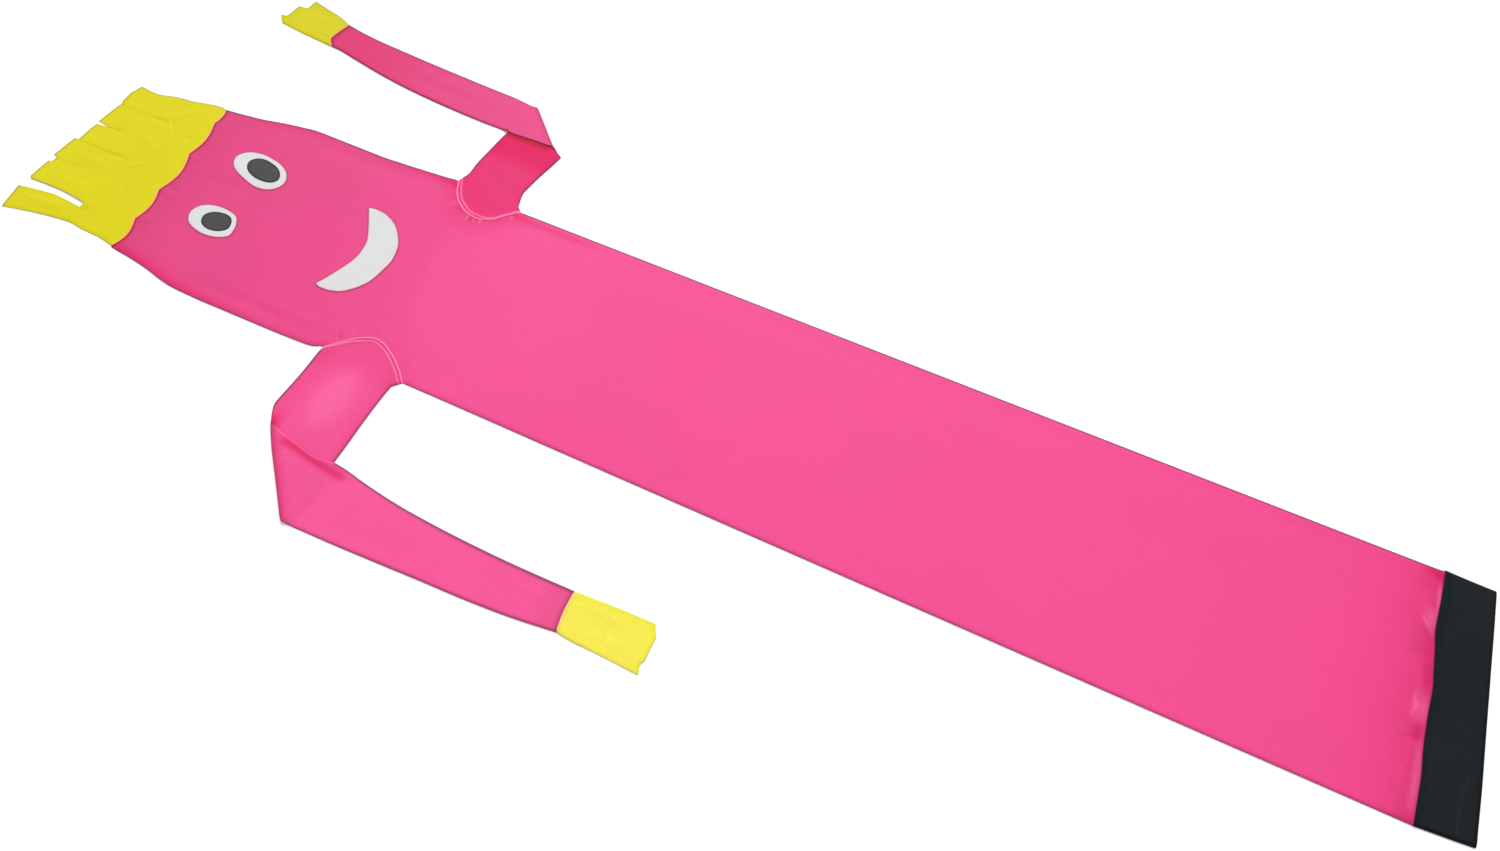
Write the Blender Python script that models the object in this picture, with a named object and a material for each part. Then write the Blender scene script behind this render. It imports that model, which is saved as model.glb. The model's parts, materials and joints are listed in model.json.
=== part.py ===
"""Inflatable air dancer, deflated and laid out flat on its back. Metres, +Z up.

X runs across the dancer, towards its raised left arm. Y runs from the open mouth of its collar to
the tips of its hair. The origin is at the middle of the mouth, on the surface that the cloth lies on.
Every piece is a sleeve of coated nylon pressed flat, or a patch sewn to the front of the body.
"""
import math
from collections import namedtuple

import bmesh
import bpy
from mathutils import Vector

# Cloth and seams
CLOTH = 0.0012  # one layer
COLLAR_CLOTH = 0.0015  # the collar's heavier layer
PATCH = 0.0010  # a face patch
GAP = 0.0003  # between two pieces that are sewn together
SEAM_GAP = 0.0004  # the same along Y, where the seam slants
FOLD_WALL = 0.0013  # cloth beyond the hollow at a sleeve's side fold
ROUND = 0.0018  # how far in from a side fold a sleeve is at its full height

# Heights of the flattened sleeves, over both layers and the air left between them
BODY_SIDE = 0.0044
BODY_MIDDLE = 0.0060
COLLAR_SIDE = 0.0052
COLLAR_MIDDLE = 0.0066
HAIR_SIDE = 0.0036
HAIR_MIDDLE = 0.0048
LIMB = 0.0036
ARM_SEAM = 0.0050  # where an arm is gathered into its armhole
FLAT_SHARE = 0.6  # the share of a wide sleeve's width that lies level

# Lengths along Y
COLLAR_SEAM = 0.0943  # the mean line where the collar meets the body
HAIR_SEAM = 2.831  # where the hair meets the body, on the centre line
HAIR_SLANT = 0.094  # rise of that line for each metre across
SEAM_FADE = 0.16  # the body's rows straighten this far from a seam
HAIR_END = 3.125  # the hair's sleeve before its tips are cut
SEAM_WIDTH = 0.009  # the raised seam round an armhole

# The collar's seam wanders as it was sewn
WAVE_HEIGHT = 0.0035
WAVE_LENGTH = 0.19
WAVE_CREST = 0.110  # an X where the collar reaches furthest up the body

# Elbow folds
FOLD_AIR = 0.0012  # between an upper arm and the forearm that lies on it
FOLD_ANGLES = (0, 45, 90, 135, 180)
RAMP = 0.060  # the forearm comes down to the floor over this length
ARM_COLUMNS = 10  # steps across an arm
ARMHOLE_REACH = 0.05  # how far the armhole cutter runs past the body's side
CUTTER_HEIGHT = 0.02

# Side edges of the wide sleeves: one row for each Y, with both X edges
Edges = namedtuple("Edges", "y right left")

BODY_EDGES = (
    Edges(0.090, -0.2435, 0.2365),
    Edges(0.130, -0.2425, 0.2345),
    Edges(0.400, -0.2425, 0.2340),
    Edges(1.000, -0.2425, 0.2340),
    Edges(1.600, -0.2425, 0.2340),
    Edges(2.040, -0.2425, 0.2340),
    Edges(2.060, -0.2500, 0.2345),
    Edges(2.080, -0.2500, 0.2420),
    Edges(2.160, -0.2500, 0.2500),
    Edges(2.240, -0.2400, 0.2540),
    Edges(2.270, -0.2490, 0.2510),
    Edges(2.350, -0.2525, 0.2450),
    Edges(2.430, -0.2535, 0.2388),
    Edges(2.550, -0.2550, 0.2395),
    Edges(2.615, -0.2540, 0.2405),
    Edges(2.650, -0.2500, 0.2360),
    Edges(2.700, -0.2385, 0.2260),
    Edges(2.750, -0.2305, 0.2150),
    Edges(2.810, -0.2225, 0.2085),
    Edges(2.850, -0.2200, 0.2040),
)

HAIR_EDGES = (
    Edges(2.810, -0.2225, 0.2040),
    Edges(2.850, -0.2165, 0.2040),
    Edges(2.865, -0.2160, 0.2070),
    Edges(2.900, -0.2148, 0.2015),
    Edges(2.935, -0.2110, 0.1925),
    Edges(2.980, -0.2145, 0.1860),
    Edges(3.022, -0.2230, 0.1750),
    Edges(3.050, -0.2290, 0.1750),
    Edges(3.085, -0.2370, 0.1790),
    Edges(HAIR_END, -0.2465, 0.1840),
)

COLLAR_EDGES = (
    Edges(0.000, -0.2360, 0.2360),
    Edges(0.030, -0.2385, 0.2370),
    Edges(0.065, -0.2415, 0.2385),
    Edges(0.100, -0.2445, 0.2392),
)

# The hair's seam hangs in scallops between the points where it is tacked
Scallop = namedtuple("Scallop", "left_x drop columns")
SCALLOP_START = -0.2225
SCALLOPS = (
    Scallop(-0.140, 0.0145, 5),
    Scallop(-0.045, 0.0145, 5),
    Scallop(0.054, 0.0170, 5),
    Scallop(0.165, 0.0100, 5),
    Scallop(0.204, 0.0050, 2),
)

# The hair is cut into strips. A row gives a strip's two tip corners, then the cut on its left
Strip = namedtuple("Strip", "right_x right_y left_x left_y cut_x cut_y cut_width cut_middle")
STRIPS = (
    Strip(-0.2400, 3.0975, -0.1800, 3.1090, -0.1635, 2.945, 0.0075, 0.0175),
    Strip(-0.1525, 3.0975, -0.0925, 3.1030, -0.0825, 3.040, 0.0010, 0.0010),
    Strip(-0.0735, 3.1070, -0.0180, 3.1015, -0.0170, 2.950, 0.0010, 0.0010),
    Strip(-0.0160, 3.0910, 0.0405, 3.0900, 0.0455, 3.045, 0.0010, 0.0020),
    Strip(0.0495, 3.0875, 0.1120, 3.0820, 0.1125, 2.940, 0.0010, 0.0010),
    Strip(0.1130, 3.0810, 0.1790, 3.0850, 0.0, 0.0, 0.0, 0.0),
)
HAIR_CLEAR = 0.03  # the tip cutter runs this far past the hair
NOTCH_Y = 3.097  # between the second strip and the third

# Armholes, as (x, y) from the head's side to the collar's side
LEFT_ARMHOLE = (
    (0.2535, 2.2390),
    (0.2130, 2.2180),
    (0.1875, 2.1850),
    (0.1820, 2.1520),
    (0.1884, 2.1220),
    (0.2160, 2.0950),
    (0.2385, 2.0680),
)
RIGHT_ARMHOLE = (
    (-0.2385, 2.2438),
    (-0.2055, 2.2060),
    (-0.1815, 2.1700),
    (-0.1785, 2.1500),
    (-0.1935, 2.1160),
    (-0.2220, 2.0770),
    (-0.2475, 2.0535),
)

# Sections of an arm. Edge a starts on the head's side of the armhole and edge b on the collar's.
# lift is how far the forearm's inner edge stands up from it
Section = namedtuple("Section", "a_x a_y b_x b_y lift")

LEFT_UPPER_ARM = (
    Section(0.2640, 2.2345, 0.2520, 2.0820, 0.0),
    Section(0.2860, 2.2278, 0.2840, 2.0903, 0.0),
    Section(0.3500, 2.2270, 0.3300, 2.0845, 0.0),
    Section(0.4300, 2.2210, 0.3750, 2.0765, 0.0),
)
LEFT_FOLD_START = ((0.5316, 2.1985), (0.4425, 2.1075), (0.4146, 2.0680))
LEFT_FOLD_END = ((0.5316, 2.1985), (0.4850, 2.1510), (0.4375, 2.1035))
LEFT_FOREARM = (
    Section(0.5318, 2.2350, 0.4405, 2.1500, 0.003),
    Section(0.5320, 2.2620, 0.4380, 2.1950, 0.004),
    Section(0.5327, 2.2900, 0.4352, 2.2400, 0.003),
    Section(0.5335, 2.3300, 0.4338, 2.2900, 0.0),
    Section(0.5360, 2.4000, 0.4365, 2.3900, 0.0),
    Section(0.5425, 2.5000, 0.4460, 2.5000, 0.0),
    Section(0.5490, 2.6000, 0.4595, 2.5950, 0.0),
    Section(0.5550, 2.6800, 0.4775, 2.6800, 0.0),
    Section(0.5620, 2.7300, 0.4890, 2.7300, 0.0),
)
LEFT_WRIST = ((0.5675, 2.7675), (0.5300, 2.7750), (0.5075, 2.7775), (0.4910, 2.7650))

RIGHT_UPPER_ARM = (
    Section(-0.2560, 2.2444, -0.2620, 2.0672, 0.0),
    Section(-0.3000, 2.2444, -0.3000, 2.0698, 0.0),
    Section(-0.3350, 2.2458, -0.3600, 2.0700, 0.0),
    Section(-0.3810, 2.2504, -0.4350, 2.0690, 0.0),
    Section(-0.4050, 2.2405, -0.5200, 2.0700, 0.0),
)
RIGHT_FOLD = ((-0.4280, 2.2285), (-0.4700, 2.1930), (-0.5250, 2.1400), (-0.5865, 2.0830))
RIGHT_FOREARM = (
    Section(-0.4365, 2.1850, -0.5862, 2.0550, 0.003),
    Section(-0.4400, 2.1350, -0.5855, 2.0200, 0.004),
    Section(-0.4425, 2.0850, -0.5845, 1.9850, 0.003),
    Section(-0.4490, 2.0400, -0.5830, 1.9550, 0.0015),
    Section(-0.4575, 1.9950, -0.5815, 1.9200, 0.0),
    Section(-0.4665, 1.9300, -0.5790, 1.8750, 0.0),
    Section(-0.4755, 1.8200, -0.5745, 1.7800, 0.0),
    Section(-0.4785, 1.7000, -0.5705, 1.6900, 0.0),
    Section(-0.4775, 1.6000, -0.5635, 1.6000, 0.0),
)
RIGHT_WRIST = ((-0.4750, 1.5260), (-0.5150, 1.5250), (-0.5525, 1.5185))

# Hands, past the wrist, and the uneven line their ends are cut to
LEFT_HAND = (
    Section(0.5840, 2.8000, 0.4910, 2.8000, 0.0),
    Section(0.5900, 2.8300, 0.4935, 2.8300, 0.0),
    Section(0.5965, 2.8600, 0.4960, 2.8600, 0.0),
    Section(0.6060, 2.8950, 0.5010, 2.8950, 0.0),
    Section(0.6160, 2.9500, 0.5080, 2.9500, 0.0),
)
LEFT_HAND_END = (
    (0.6500, 2.8890),
    (0.5750, 2.8960),
    (0.5725, 2.9200),
    (0.5325, 2.9225),
    (0.5300, 2.9390),
    (0.5050, 2.9200),
    (0.4600, 2.8858),
)
RIGHT_HAND = (
    Section(-0.4735, 1.4900, -0.5560, 1.4900, 0.0),
    Section(-0.4705, 1.4500, -0.5565, 1.4500, 0.0),
    Section(-0.4685, 1.4100, -0.5572, 1.4100, 0.0),
    Section(-0.4665, 1.3350, -0.5595, 1.3350, 0.0),
)
RIGHT_HAND_END = (
    (-0.4300, 1.3860),
    (-0.4660, 1.3720),
    (-0.4780, 1.3645),
    (-0.4825, 1.3575),
    (-0.5300, 1.3565),
    (-0.5425, 1.3610),
    (-0.5525, 1.3585),
    (-0.6000, 1.3570),
)
HAND_CLEAR = 0.06

# Face patches. Eyes and pupils are ovals: centre, half length, half width, tilt and how far one
# end is fuller than the other
Oval = namedtuple("Oval", "x y half_length half_width tilt fullness")
LEFT_EYE = Oval(0.0860, 2.6610, 0.0755, 0.0405, -12.0, -0.12)
LEFT_PUPIL = Oval(0.0905, 2.6520, 0.0450, 0.0245, -12.0, -0.08)
RIGHT_EYE = Oval(-0.0760, 2.6610, 0.0610, 0.0395, -8.0, -0.10)
RIGHT_PUPIL = Oval(-0.0730, 2.6510, 0.0350, 0.0245, -4.0, 0.0)
OVAL_POINTS = 32
OVAL_RINGS = (1.0, 0.6, 0.25)

Smile = namedtuple("Smile", "outer_x outer_y inner_x inner_y")
SMILE = (
    Smile(0.1080, 2.3550, 0.0990, 2.3700),
    Smile(0.1060, 2.3250, 0.0850, 2.3610),
    Smile(0.0925, 2.3000, 0.0690, 2.3500),
    Smile(0.0650, 2.2700, 0.0480, 2.3350),
    Smile(0.0350, 2.2500, 0.0260, 2.3235),
    Smile(0.0000, 2.2435, 0.0000, 2.3190),
    Smile(-0.0400, 2.2475, -0.0300, 2.3205),
    Smile(-0.0725, 2.2575, -0.0580, 2.3285),
    Smile(-0.1000, 2.2800, -0.0830, 2.3395),
    Smile(-0.1165, 2.3030, -0.1010, 2.3480),
    Smile(-0.1215, 2.3250, -0.1120, 2.3530),
    Smile(-0.1200, 2.3450, -0.1165, 2.3550),
)
SMILE_TIP = (0.1045, 2.3745)

PINK = (0.92, 0.09, 0.30)
YELLOW = (0.80, 0.72, 0.03)
BLACK = (0.018, 0.021, 0.024)
WHITE = (0.76, 0.78, 0.78)
CHARCOAL = (0.07, 0.07, 0.075)


# Curves and outlines


def smooth(points, steps=10):
    """Dense points on a smooth curve through the given (x, y) points."""
    corners = [Vector(p) for p in points]
    if len(corners) == 2:
        return corners
    ends = [2 * corners[0] - corners[1], *corners, 2 * corners[-1] - corners[-2]]
    dense = []
    for a, b, c, d in zip(ends, ends[1:], ends[2:], ends[3:]):
        for step in range(steps):
            t = step / steps
            line = 2 * b + (c - a) * t
            bend = (2 * a - 5 * b + 4 * c - d) * t**2 + (3 * b - a - 3 * c + d) * t**3
            dense.append(0.5 * (line + bend))
    dense.append(corners[-1])
    return dense


def spread(curve, count):
    """count + 1 points spaced evenly along a polyline."""
    lengths = [0.0]
    for a, b in zip(curve, curve[1:]):
        lengths.append(lengths[-1] + (b - a).length)
    points = []
    k = 0
    for i in range(count + 1):
        wanted = lengths[-1] * i / count
        while k < len(curve) - 2 and lengths[k + 1] < wanted:
            k += 1
        share = (wanted - lengths[k]) / (lengths[k + 1] - lengths[k])
        points.append(curve[k].lerp(curve[k + 1], share))
    return points


def edge_at(edges, y, side):
    """A sleeve's side edge at y, read between the rows of its table."""
    for low, high in zip(edges, edges[1:]):
        if y <= high.y or high is edges[-1]:
            share = (y - low.y) / (high.y - low.y)
            return getattr(low, side) * (1 - share) + getattr(high, side) * share


def collar_seam(x):
    """Y of the collar's wandering seam."""
    return COLLAR_SEAM + WAVE_HEIGHT * math.cos(2 * math.pi * (x - WAVE_CREST) / WAVE_LENGTH)


def hair_seam(x):
    """Y of the hair's slanting, scalloped seam."""
    line = HAIR_SEAM + HAIR_SLANT * x
    start = SCALLOP_START
    for scallop in SCALLOPS:
        if start <= x <= scallop.left_x:
            share = (x - start) / (scallop.left_x - start)
            return line - scallop.drop * math.sin(math.pi * share)
        start = scallop.left_x
    return line


def column_shares():
    """Where the body's columns lie across it, with one at each end of each scallop."""
    left, right = SCALLOPS[-1].left_x, SCALLOP_START
    shares = [0.0]
    start = right
    for scallop in SCALLOPS:
        for i in range(1, scallop.columns + 1):
            x = start + (scallop.left_x - start) * i / scallop.columns
            shares.append((x - right) / (left - right))
        start = scallop.left_x
    return shares


# Flattened sleeves


def crown(x, right, left, side, middle):
    """The height of a wide sleeve at x: level in the middle and lower by its side folds."""
    out = abs(x - (left + right) / 2) / ((left - right) / 2)
    t = min(max((out - FLAT_SHARE) / (1 - FLAT_SHARE), 0.0), 1.0)
    return middle + (side - middle) * t * t * (3 - 2 * t)


def ring_points(row, heights, cloth, lie):
    """One section of a sleeve: its outer ring and its inner ring, each up one face and down the other.

    row holds plan points from one side fold to the other. lie(point, half) gives the 3-D point that
    is half a height off the middle of the cloth there: minus is the underside, plus is the front.
    """
    first = (row[1] - row[0]).normalized()
    last = (row[-2] - row[-1]).normalized()
    inside = row[1:-1]
    outer_plan = [row[0], row[0] + first * ROUND, *inside, row[-1] + last * ROUND, row[-1]]
    inner_plan = [
        row[0] + first * FOLD_WALL,
        row[0] + first * (FOLD_WALL + ROUND),
        *inside,
        row[-1] + last * (FOLD_WALL + ROUND),
        row[-1] + last * FOLD_WALL,
    ]
    full = [heights[0], heights[0], *heights[1:-1], heights[-1], heights[-1]]
    outer_half = [h / 2 for h in full]
    inner_half = [h / 2 - cloth for h in full]
    for k in (0, -1):
        outer_half[k] *= 0.4
        inner_half[k] *= 0.4
    rings = []
    for plan, half in ((outer_plan, outer_half), (inner_plan, inner_half)):
        under = [lie(p, -h, full[i]) for i, (p, h) in enumerate(zip(plan, half))]
        front = [lie(p, h, full[i]) for i, (p, h) in enumerate(zip(plan, half))]
        rings.append(under + front[::-1])
    return rings


def lie_flat(point, half, full):
    """On the floor, with its underside level."""
    return Vector((point.x, point.y, full / 2 + half))


def sleeve(name, sections, colour, roughness):
    """A closed tube of cloth through the given sections, open at both ends."""
    mesh = bmesh.new()
    outer = [[mesh.verts.new(p) for p in section[0]] for section in sections]
    inner = [[mesh.verts.new(p) for p in section[1]] for section in sections]
    count = len(outer[0])
    for rings in (outer, inner):
        for a, b in zip(rings, rings[1:]):
            for i in range(count):
                j = (i + 1) % count
                mesh.faces.new((a[i], a[j], b[j], b[i]))
    for end in (0, -1):
        for i in range(count):
            j = (i + 1) % count
            mesh.faces.new((outer[end][i], outer[end][j], inner[end][j], inner[end][i]))
    return add_object(name, mesh, colour, roughness)


def wide_sleeve(name, row_points, side, middle, cloth, colour, roughness):
    """The body, the hair or the collar, from rows of plan points."""
    sections = []
    for row in row_points:
        right, left = row[0].x, row[-1].x
        heights = [crown(p.x, right, left, side, middle) for p in row]
        sections.append(ring_points(row, heights, cloth, lie_flat))
    return sleeve(name, sections, colour, roughness)


def straight_rows(edges, levels, shares):
    """Rows of plan points at each level. A level is a function of x or a plain Y."""
    rows = []
    for level in levels:
        at = level if callable(level) else lambda x, y=level: y
        middle_y = at(0.0)
        right = edge_at(edges, middle_y, "right")
        left = edge_at(edges, middle_y, "left")
        right = edge_at(edges, at(right), "right")
        left = edge_at(edges, at(left), "left")
        rows.append([Vector((x, at(x))) for x in (right + (left - right) * s for s in shares)])
    return rows


def bent_level(y, seam, mean):
    """A row near a seam that takes on part of the seam's shape."""
    share = max(0.0, 1 - abs(y - mean) / SEAM_FADE)
    return lambda x: y + share * (seam(x) - mean)


# Objects


def add_object(name, mesh, colour, roughness):
    """Finish a mesh and put it in the scene with its own material."""
    bmesh.ops.recalc_face_normals(mesh, faces=mesh.faces)
    data = bpy.data.meshes.new(name)
    mesh.to_mesh(data)
    mesh.free()
    obj = bpy.data.objects.new(name, data)
    bpy.context.scene.collection.objects.link(obj)
    material = bpy.data.materials.new(name)
    material.use_nodes = True
    shader = material.node_tree.nodes["Principled BSDF"]
    shader.inputs["Base Color"].default_value = (*colour, 1.0)
    shader.inputs["Roughness"].default_value = roughness
    shader.inputs["Metallic"].default_value = 0.0
    data.materials.append(material)
    return obj


def cut(obj, name, outline):
    """Cut a plan outline right through an object."""
    mesh = bmesh.new()
    low = [mesh.verts.new((x, y, -CUTTER_HEIGHT)) for x, y in outline]
    high = [mesh.verts.new((x, y, CUTTER_HEIGHT)) for x, y in outline]
    mesh.faces.new(low)
    mesh.faces.new(high)
    for i in range(len(outline)):
        j = (i + 1) % len(outline)
        mesh.faces.new((low[i], low[j], high[j], high[i]))
    cutter = add_object(name, mesh, WHITE, 0.5)
    cutter.hide_render = True
    cutter.display_type = "WIRE"
    modifier = obj.modifiers.new(name, "BOOLEAN")
    modifier.operation = "DIFFERENCE"
    modifier.solver = "EXACT"
    modifier.object = cutter


# The dancer's pieces


def armhole_outline(points):
    """The armhole grown by the gap, closed well outside the body's side."""
    arc = spread(smooth(points), ARM_COLUMNS)
    outward = 1 if arc[0].x > 0 else -1
    grown = []
    for i, p in enumerate(arc):
        along = (arc[min(i + 1, len(arc) - 1)] - arc[max(i - 1, 0)]).normalized()
        grown.append(p - outward * GAP * Vector((-along.y, along.x)))
    reach = Vector((outward * ARMHOLE_REACH, 0.004))
    start = grown[0] + reach
    end = grown[-1] + Vector((reach.x, -reach.y))
    return [start, *grown, end]


def make_body():
    """The long pink sleeve, from collar to hair, with an armhole in each side."""
    shares = column_shares()
    levels = [collar_seam]
    levels += [bent_level(0.135, collar_seam, COLLAR_SEAM)]
    levels += [e.y for e in BODY_EDGES if 0.2 < e.y < 2.69]
    levels += [bent_level(y, hair_seam, HAIR_SEAM) for y in (2.70, 2.75, 2.79)]
    levels += [hair_seam]
    rows = straight_rows(BODY_EDGES, levels, shares)
    body = wide_sleeve("body", rows, BODY_SIDE, BODY_MIDDLE, CLOTH, PINK, 0.5)
    cut(body, "left_armhole", armhole_outline(LEFT_ARMHOLE))
    cut(body, "right_armhole", armhole_outline(RIGHT_ARMHOLE))


def make_collar():
    """The black collar that is strapped round the blower's ring."""
    shares = column_shares()
    levels = [0.0, 0.030, 0.065, lambda x: collar_seam(x) - SEAM_GAP]
    rows = straight_rows(COLLAR_EDGES, levels, shares)
    wide_sleeve("collar", rows, COLLAR_SIDE, COLLAR_MIDDLE, COLLAR_CLOTH, BLACK, 0.45)


def hair_tips():
    """The outline that cuts the hair's end into six strips."""
    first, last = STRIPS[0], STRIPS[-1]
    outline = [(first.right_x - HAIR_CLEAR, HAIR_END + HAIR_CLEAR)]
    outline += [(first.right_x - HAIR_CLEAR, first.right_y - 0.005)]
    for strip, following in zip(STRIPS, STRIPS[1:]):
        middle_y = (strip.cut_y + strip.left_y) / 2
        half, middle_half = strip.cut_width / 2, strip.cut_middle / 2
        outline += [(strip.right_x, strip.right_y), (strip.left_x, strip.left_y)]
        if strip.cut_y > 3.0 and following.right_x - strip.left_x > 0.01:
            outline += [(strip.left_x, NOTCH_Y), (strip.cut_x - middle_half, NOTCH_Y - 0.001)]
            outline += [(strip.cut_x - half, strip.cut_y), (strip.cut_x + half, strip.cut_y)]
            outline += [(strip.cut_x + middle_half, NOTCH_Y - 0.001), (following.right_x, NOTCH_Y)]
            continue
        outline += [(strip.cut_x - middle_half, middle_y), (strip.cut_x - half, strip.cut_y)]
        outline += [(strip.cut_x + half, strip.cut_y), (strip.cut_x + middle_half, middle_y)]
    outline += [(last.right_x, last.right_y), (last.left_x, last.left_y)]
    outline += [(last.left_x + HAIR_CLEAR, last.left_y)]
    outline += [(last.left_x + HAIR_CLEAR, HAIR_END + HAIR_CLEAR)]
    return outline


def make_hair():
    """The yellow sleeve at the top of the head, its end cut into strips."""
    shares = column_shares()
    levels = [lambda x: hair_seam(x) + SEAM_GAP]
    levels += [e.y for e in HAIR_EDGES if e.y > 2.88]
    rows = straight_rows(HAIR_EDGES, levels, shares)
    hair = wide_sleeve("hair", rows, HAIR_SIDE, HAIR_MIDDLE, CLOTH, YELLOW, 0.5)
    cut(hair, "hair_tips", hair_tips())


def arm_section(guide, height, lie):
    """A section of an arm or hand across a plan curve."""
    row = spread(guide, ARM_COLUMNS)
    return ring_points(row, [height] * len(row), CLOTH, lie)


def fold_lie(angle, out):
    """Cloth on its way round an elbow's fold, whose bulge reaches out to the fold line."""
    radius = (LIMB + FOLD_AIR) / 2
    turn = math.radians(angle)
    shift = out * radius * (math.sin(turn) - 1)
    height = LIMB / 2 + radius * (1 - math.cos(turn))
    normal = Vector((-out.x * math.sin(turn), -out.y * math.sin(turn), math.cos(turn)))
    return lambda p, half, full: Vector((p.x + shift.x, p.y + shift.y, height)) + normal * half


def forearm_lie(drop_from, drop_way, inner, lift):
    """A forearm, upside down on its upper arm and then on the floor."""

    def lie(point, half, full):
        past = (point.y - drop_from) * drop_way / RAMP
        t = min(max(past, 0.0), 1.0)
        over = (LIMB + FOLD_AIR) * (1 - t * t * (3 - 2 * t))
        near = max(0.0, 1 - (point - inner).length / 0.012)
        return Vector((point.x, point.y, over + full / 2 + lift * near - half))

    return lie


def make_arm(name, armhole, upper, fold_start, fold_end, forearm, wrist, drop_from, inner_is_a):
    """An arm from its armhole, folded over at the elbow, to its wrist."""
    root = spread(smooth(armhole), ARM_COLUMNS)
    first = upper[0]
    first_line = spread([Vector((first.a_x, first.a_y)), Vector((first.b_x, first.b_y))], ARM_COLUMNS)
    reach = (root[ARM_COLUMNS // 2] - first_line[ARM_COLUMNS // 2]).length
    sections = []
    seam_share = SEAM_WIDTH / reach
    for share, height in ((0, ARM_SEAM), (seam_share, ARM_SEAM), (1.6 * seam_share, LIMB), (0.6, LIMB)):
        row = [p.lerp(q, share) for p, q in zip(root, first_line)]
        sections.append(ring_points(row, [height] * len(row), CLOTH, lie_flat))
    for s in upper:
        sections.append(arm_section([Vector((s.a_x, s.a_y)), Vector((s.b_x, s.b_y))], LIMB, lie_flat))
    start = spread(smooth(fold_start), ARM_COLUMNS)
    end = spread(smooth(fold_end), ARM_COLUMNS)
    chord = (end[-1] - end[0]).normalized()
    out = Vector((chord.y, -chord.x))
    if out.x * end[0].x < 0:
        out = -out
    for angle in FOLD_ANGLES:
        row = [p.lerp(q, angle / 180) for p, q in zip(start, end)]
        sections.append(ring_points(row, [LIMB] * len(row), CLOTH, fold_lie(angle, out)))
    drop_way = 1 if forearm[-1].a_y > drop_from else -1
    for s in forearm:
        a, b = Vector((s.a_x, s.a_y)), Vector((s.b_x, s.b_y))
        lie = forearm_lie(drop_from, drop_way, a if inner_is_a else b, s.lift)
        sections.append(arm_section([a, b], LIMB, lie))
    lie = forearm_lie(drop_from, drop_way, Vector((0, 0)), 0.0)
    sections.append(arm_section(smooth(wrist), LIMB, lie))
    return sleeve(name, sections, PINK, 0.5)


def make_hand(name, wrist, hand, end):
    """A yellow cuff past the wrist, cut off unevenly."""
    way = 1 if hand[-1].a_y > wrist[0][1] else -1
    sections = [arm_section([p + Vector((0, way * SEAM_GAP)) for p in smooth(wrist)], LIMB, lie_flat)]
    for s in hand:
        sections.append(arm_section([Vector((s.a_x, s.a_y)), Vector((s.b_x, s.b_y))], LIMB, lie_flat))
    obj = sleeve(name, sections, YELLOW, 0.5)
    far = hand[-1].a_y + way * HAND_CLEAR
    cut(obj, name + "_end", [*end, (end[-1][0], far), (end[0][0], far)])


def front(point):
    """The height of the body's front at a plan point."""
    right = edge_at(BODY_EDGES, point.y, "right")
    left = edge_at(BODY_EDGES, point.y, "left")
    return crown(point.x, right, left, BODY_SIDE, BODY_MIDDLE)


def patch(name, rings, closed, lift, colour, roughness):
    """A patch of cloth that follows the body's front, from rings or strips of plan points."""
    mesh = bmesh.new()
    layers = []
    for height in (0.0, PATCH):
        layers.append([[mesh.verts.new((p.x, p.y, front(p) + lift + height)) for p in r] for r in rings])
    steps = len(rings[0]) if closed else len(rings[0]) - 1
    for layer in layers:
        for a, b in zip(layer, layer[1:]):
            for i in range(steps):
                j = (i + 1) % len(a)
                mesh.faces.new((a[i], a[j], b[j], b[i]))
        if closed:
            mesh.faces.new(layer[-1])
    low, high = layers
    if closed:
        rims = [(low[0], high[0])]
    else:
        low_rim = low[0] + [r[-1] for r in low[1:]] + low[-1][-2::-1] + [r[0] for r in low[-2:0:-1]]
        high_rim = high[0] + [r[-1] for r in high[1:]] + high[-1][-2::-1] + [r[0] for r in high[-2:0:-1]]
        rims = [(low_rim, high_rim)]
    for a, b in rims:
        for i in range(len(a)):
            j = (i + 1) % len(a)
            mesh.faces.new((a[i], a[j], b[j], b[i]))
    return add_object(name, mesh, colour, roughness)


def oval_rings(oval):
    """An oval in plan, as rings from its rim inwards. Its length lies along Y before the tilt."""
    tilt = math.radians(oval.tilt)
    rings = []
    for size in OVAL_RINGS:
        ring = []
        for i in range(OVAL_POINTS):
            turn = 2 * math.pi * i / OVAL_POINTS
            along = oval.half_length * math.cos(turn)
            across = oval.half_width * math.sin(turn) * (1 + oval.fullness * math.cos(turn))
            x = across * math.cos(tilt) - along * math.sin(tilt)
            y = across * math.sin(tilt) + along * math.cos(tilt)
            ring.append(Vector((oval.x + size * x, oval.y + size * y)))
        rings.append(ring)
    return rings


def make_face():
    """Two eyes with pupils, and a smile."""
    for side, eye, pupil in (("left", LEFT_EYE, LEFT_PUPIL), ("right", RIGHT_EYE, RIGHT_PUPIL)):
        patch(side + "_eye", oval_rings(eye), True, GAP, WHITE, 0.55)
        patch(side + "_pupil", oval_rings(pupil), True, 2 * GAP + PATCH, CHARCOAL, 0.6)
    outer = spread(smooth([SMILE_TIP] + [(s.outer_x, s.outer_y) for s in SMILE]), 20)
    inner = spread(smooth([SMILE_TIP] + [(s.inner_x, s.inner_y) for s in SMILE]), 20)
    middle = [(p + q) / 2 for p, q in zip(outer, inner)]
    patch("smile", [outer[1:], middle[1:], inner[1:]], False, GAP, WHITE, 0.55)


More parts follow.
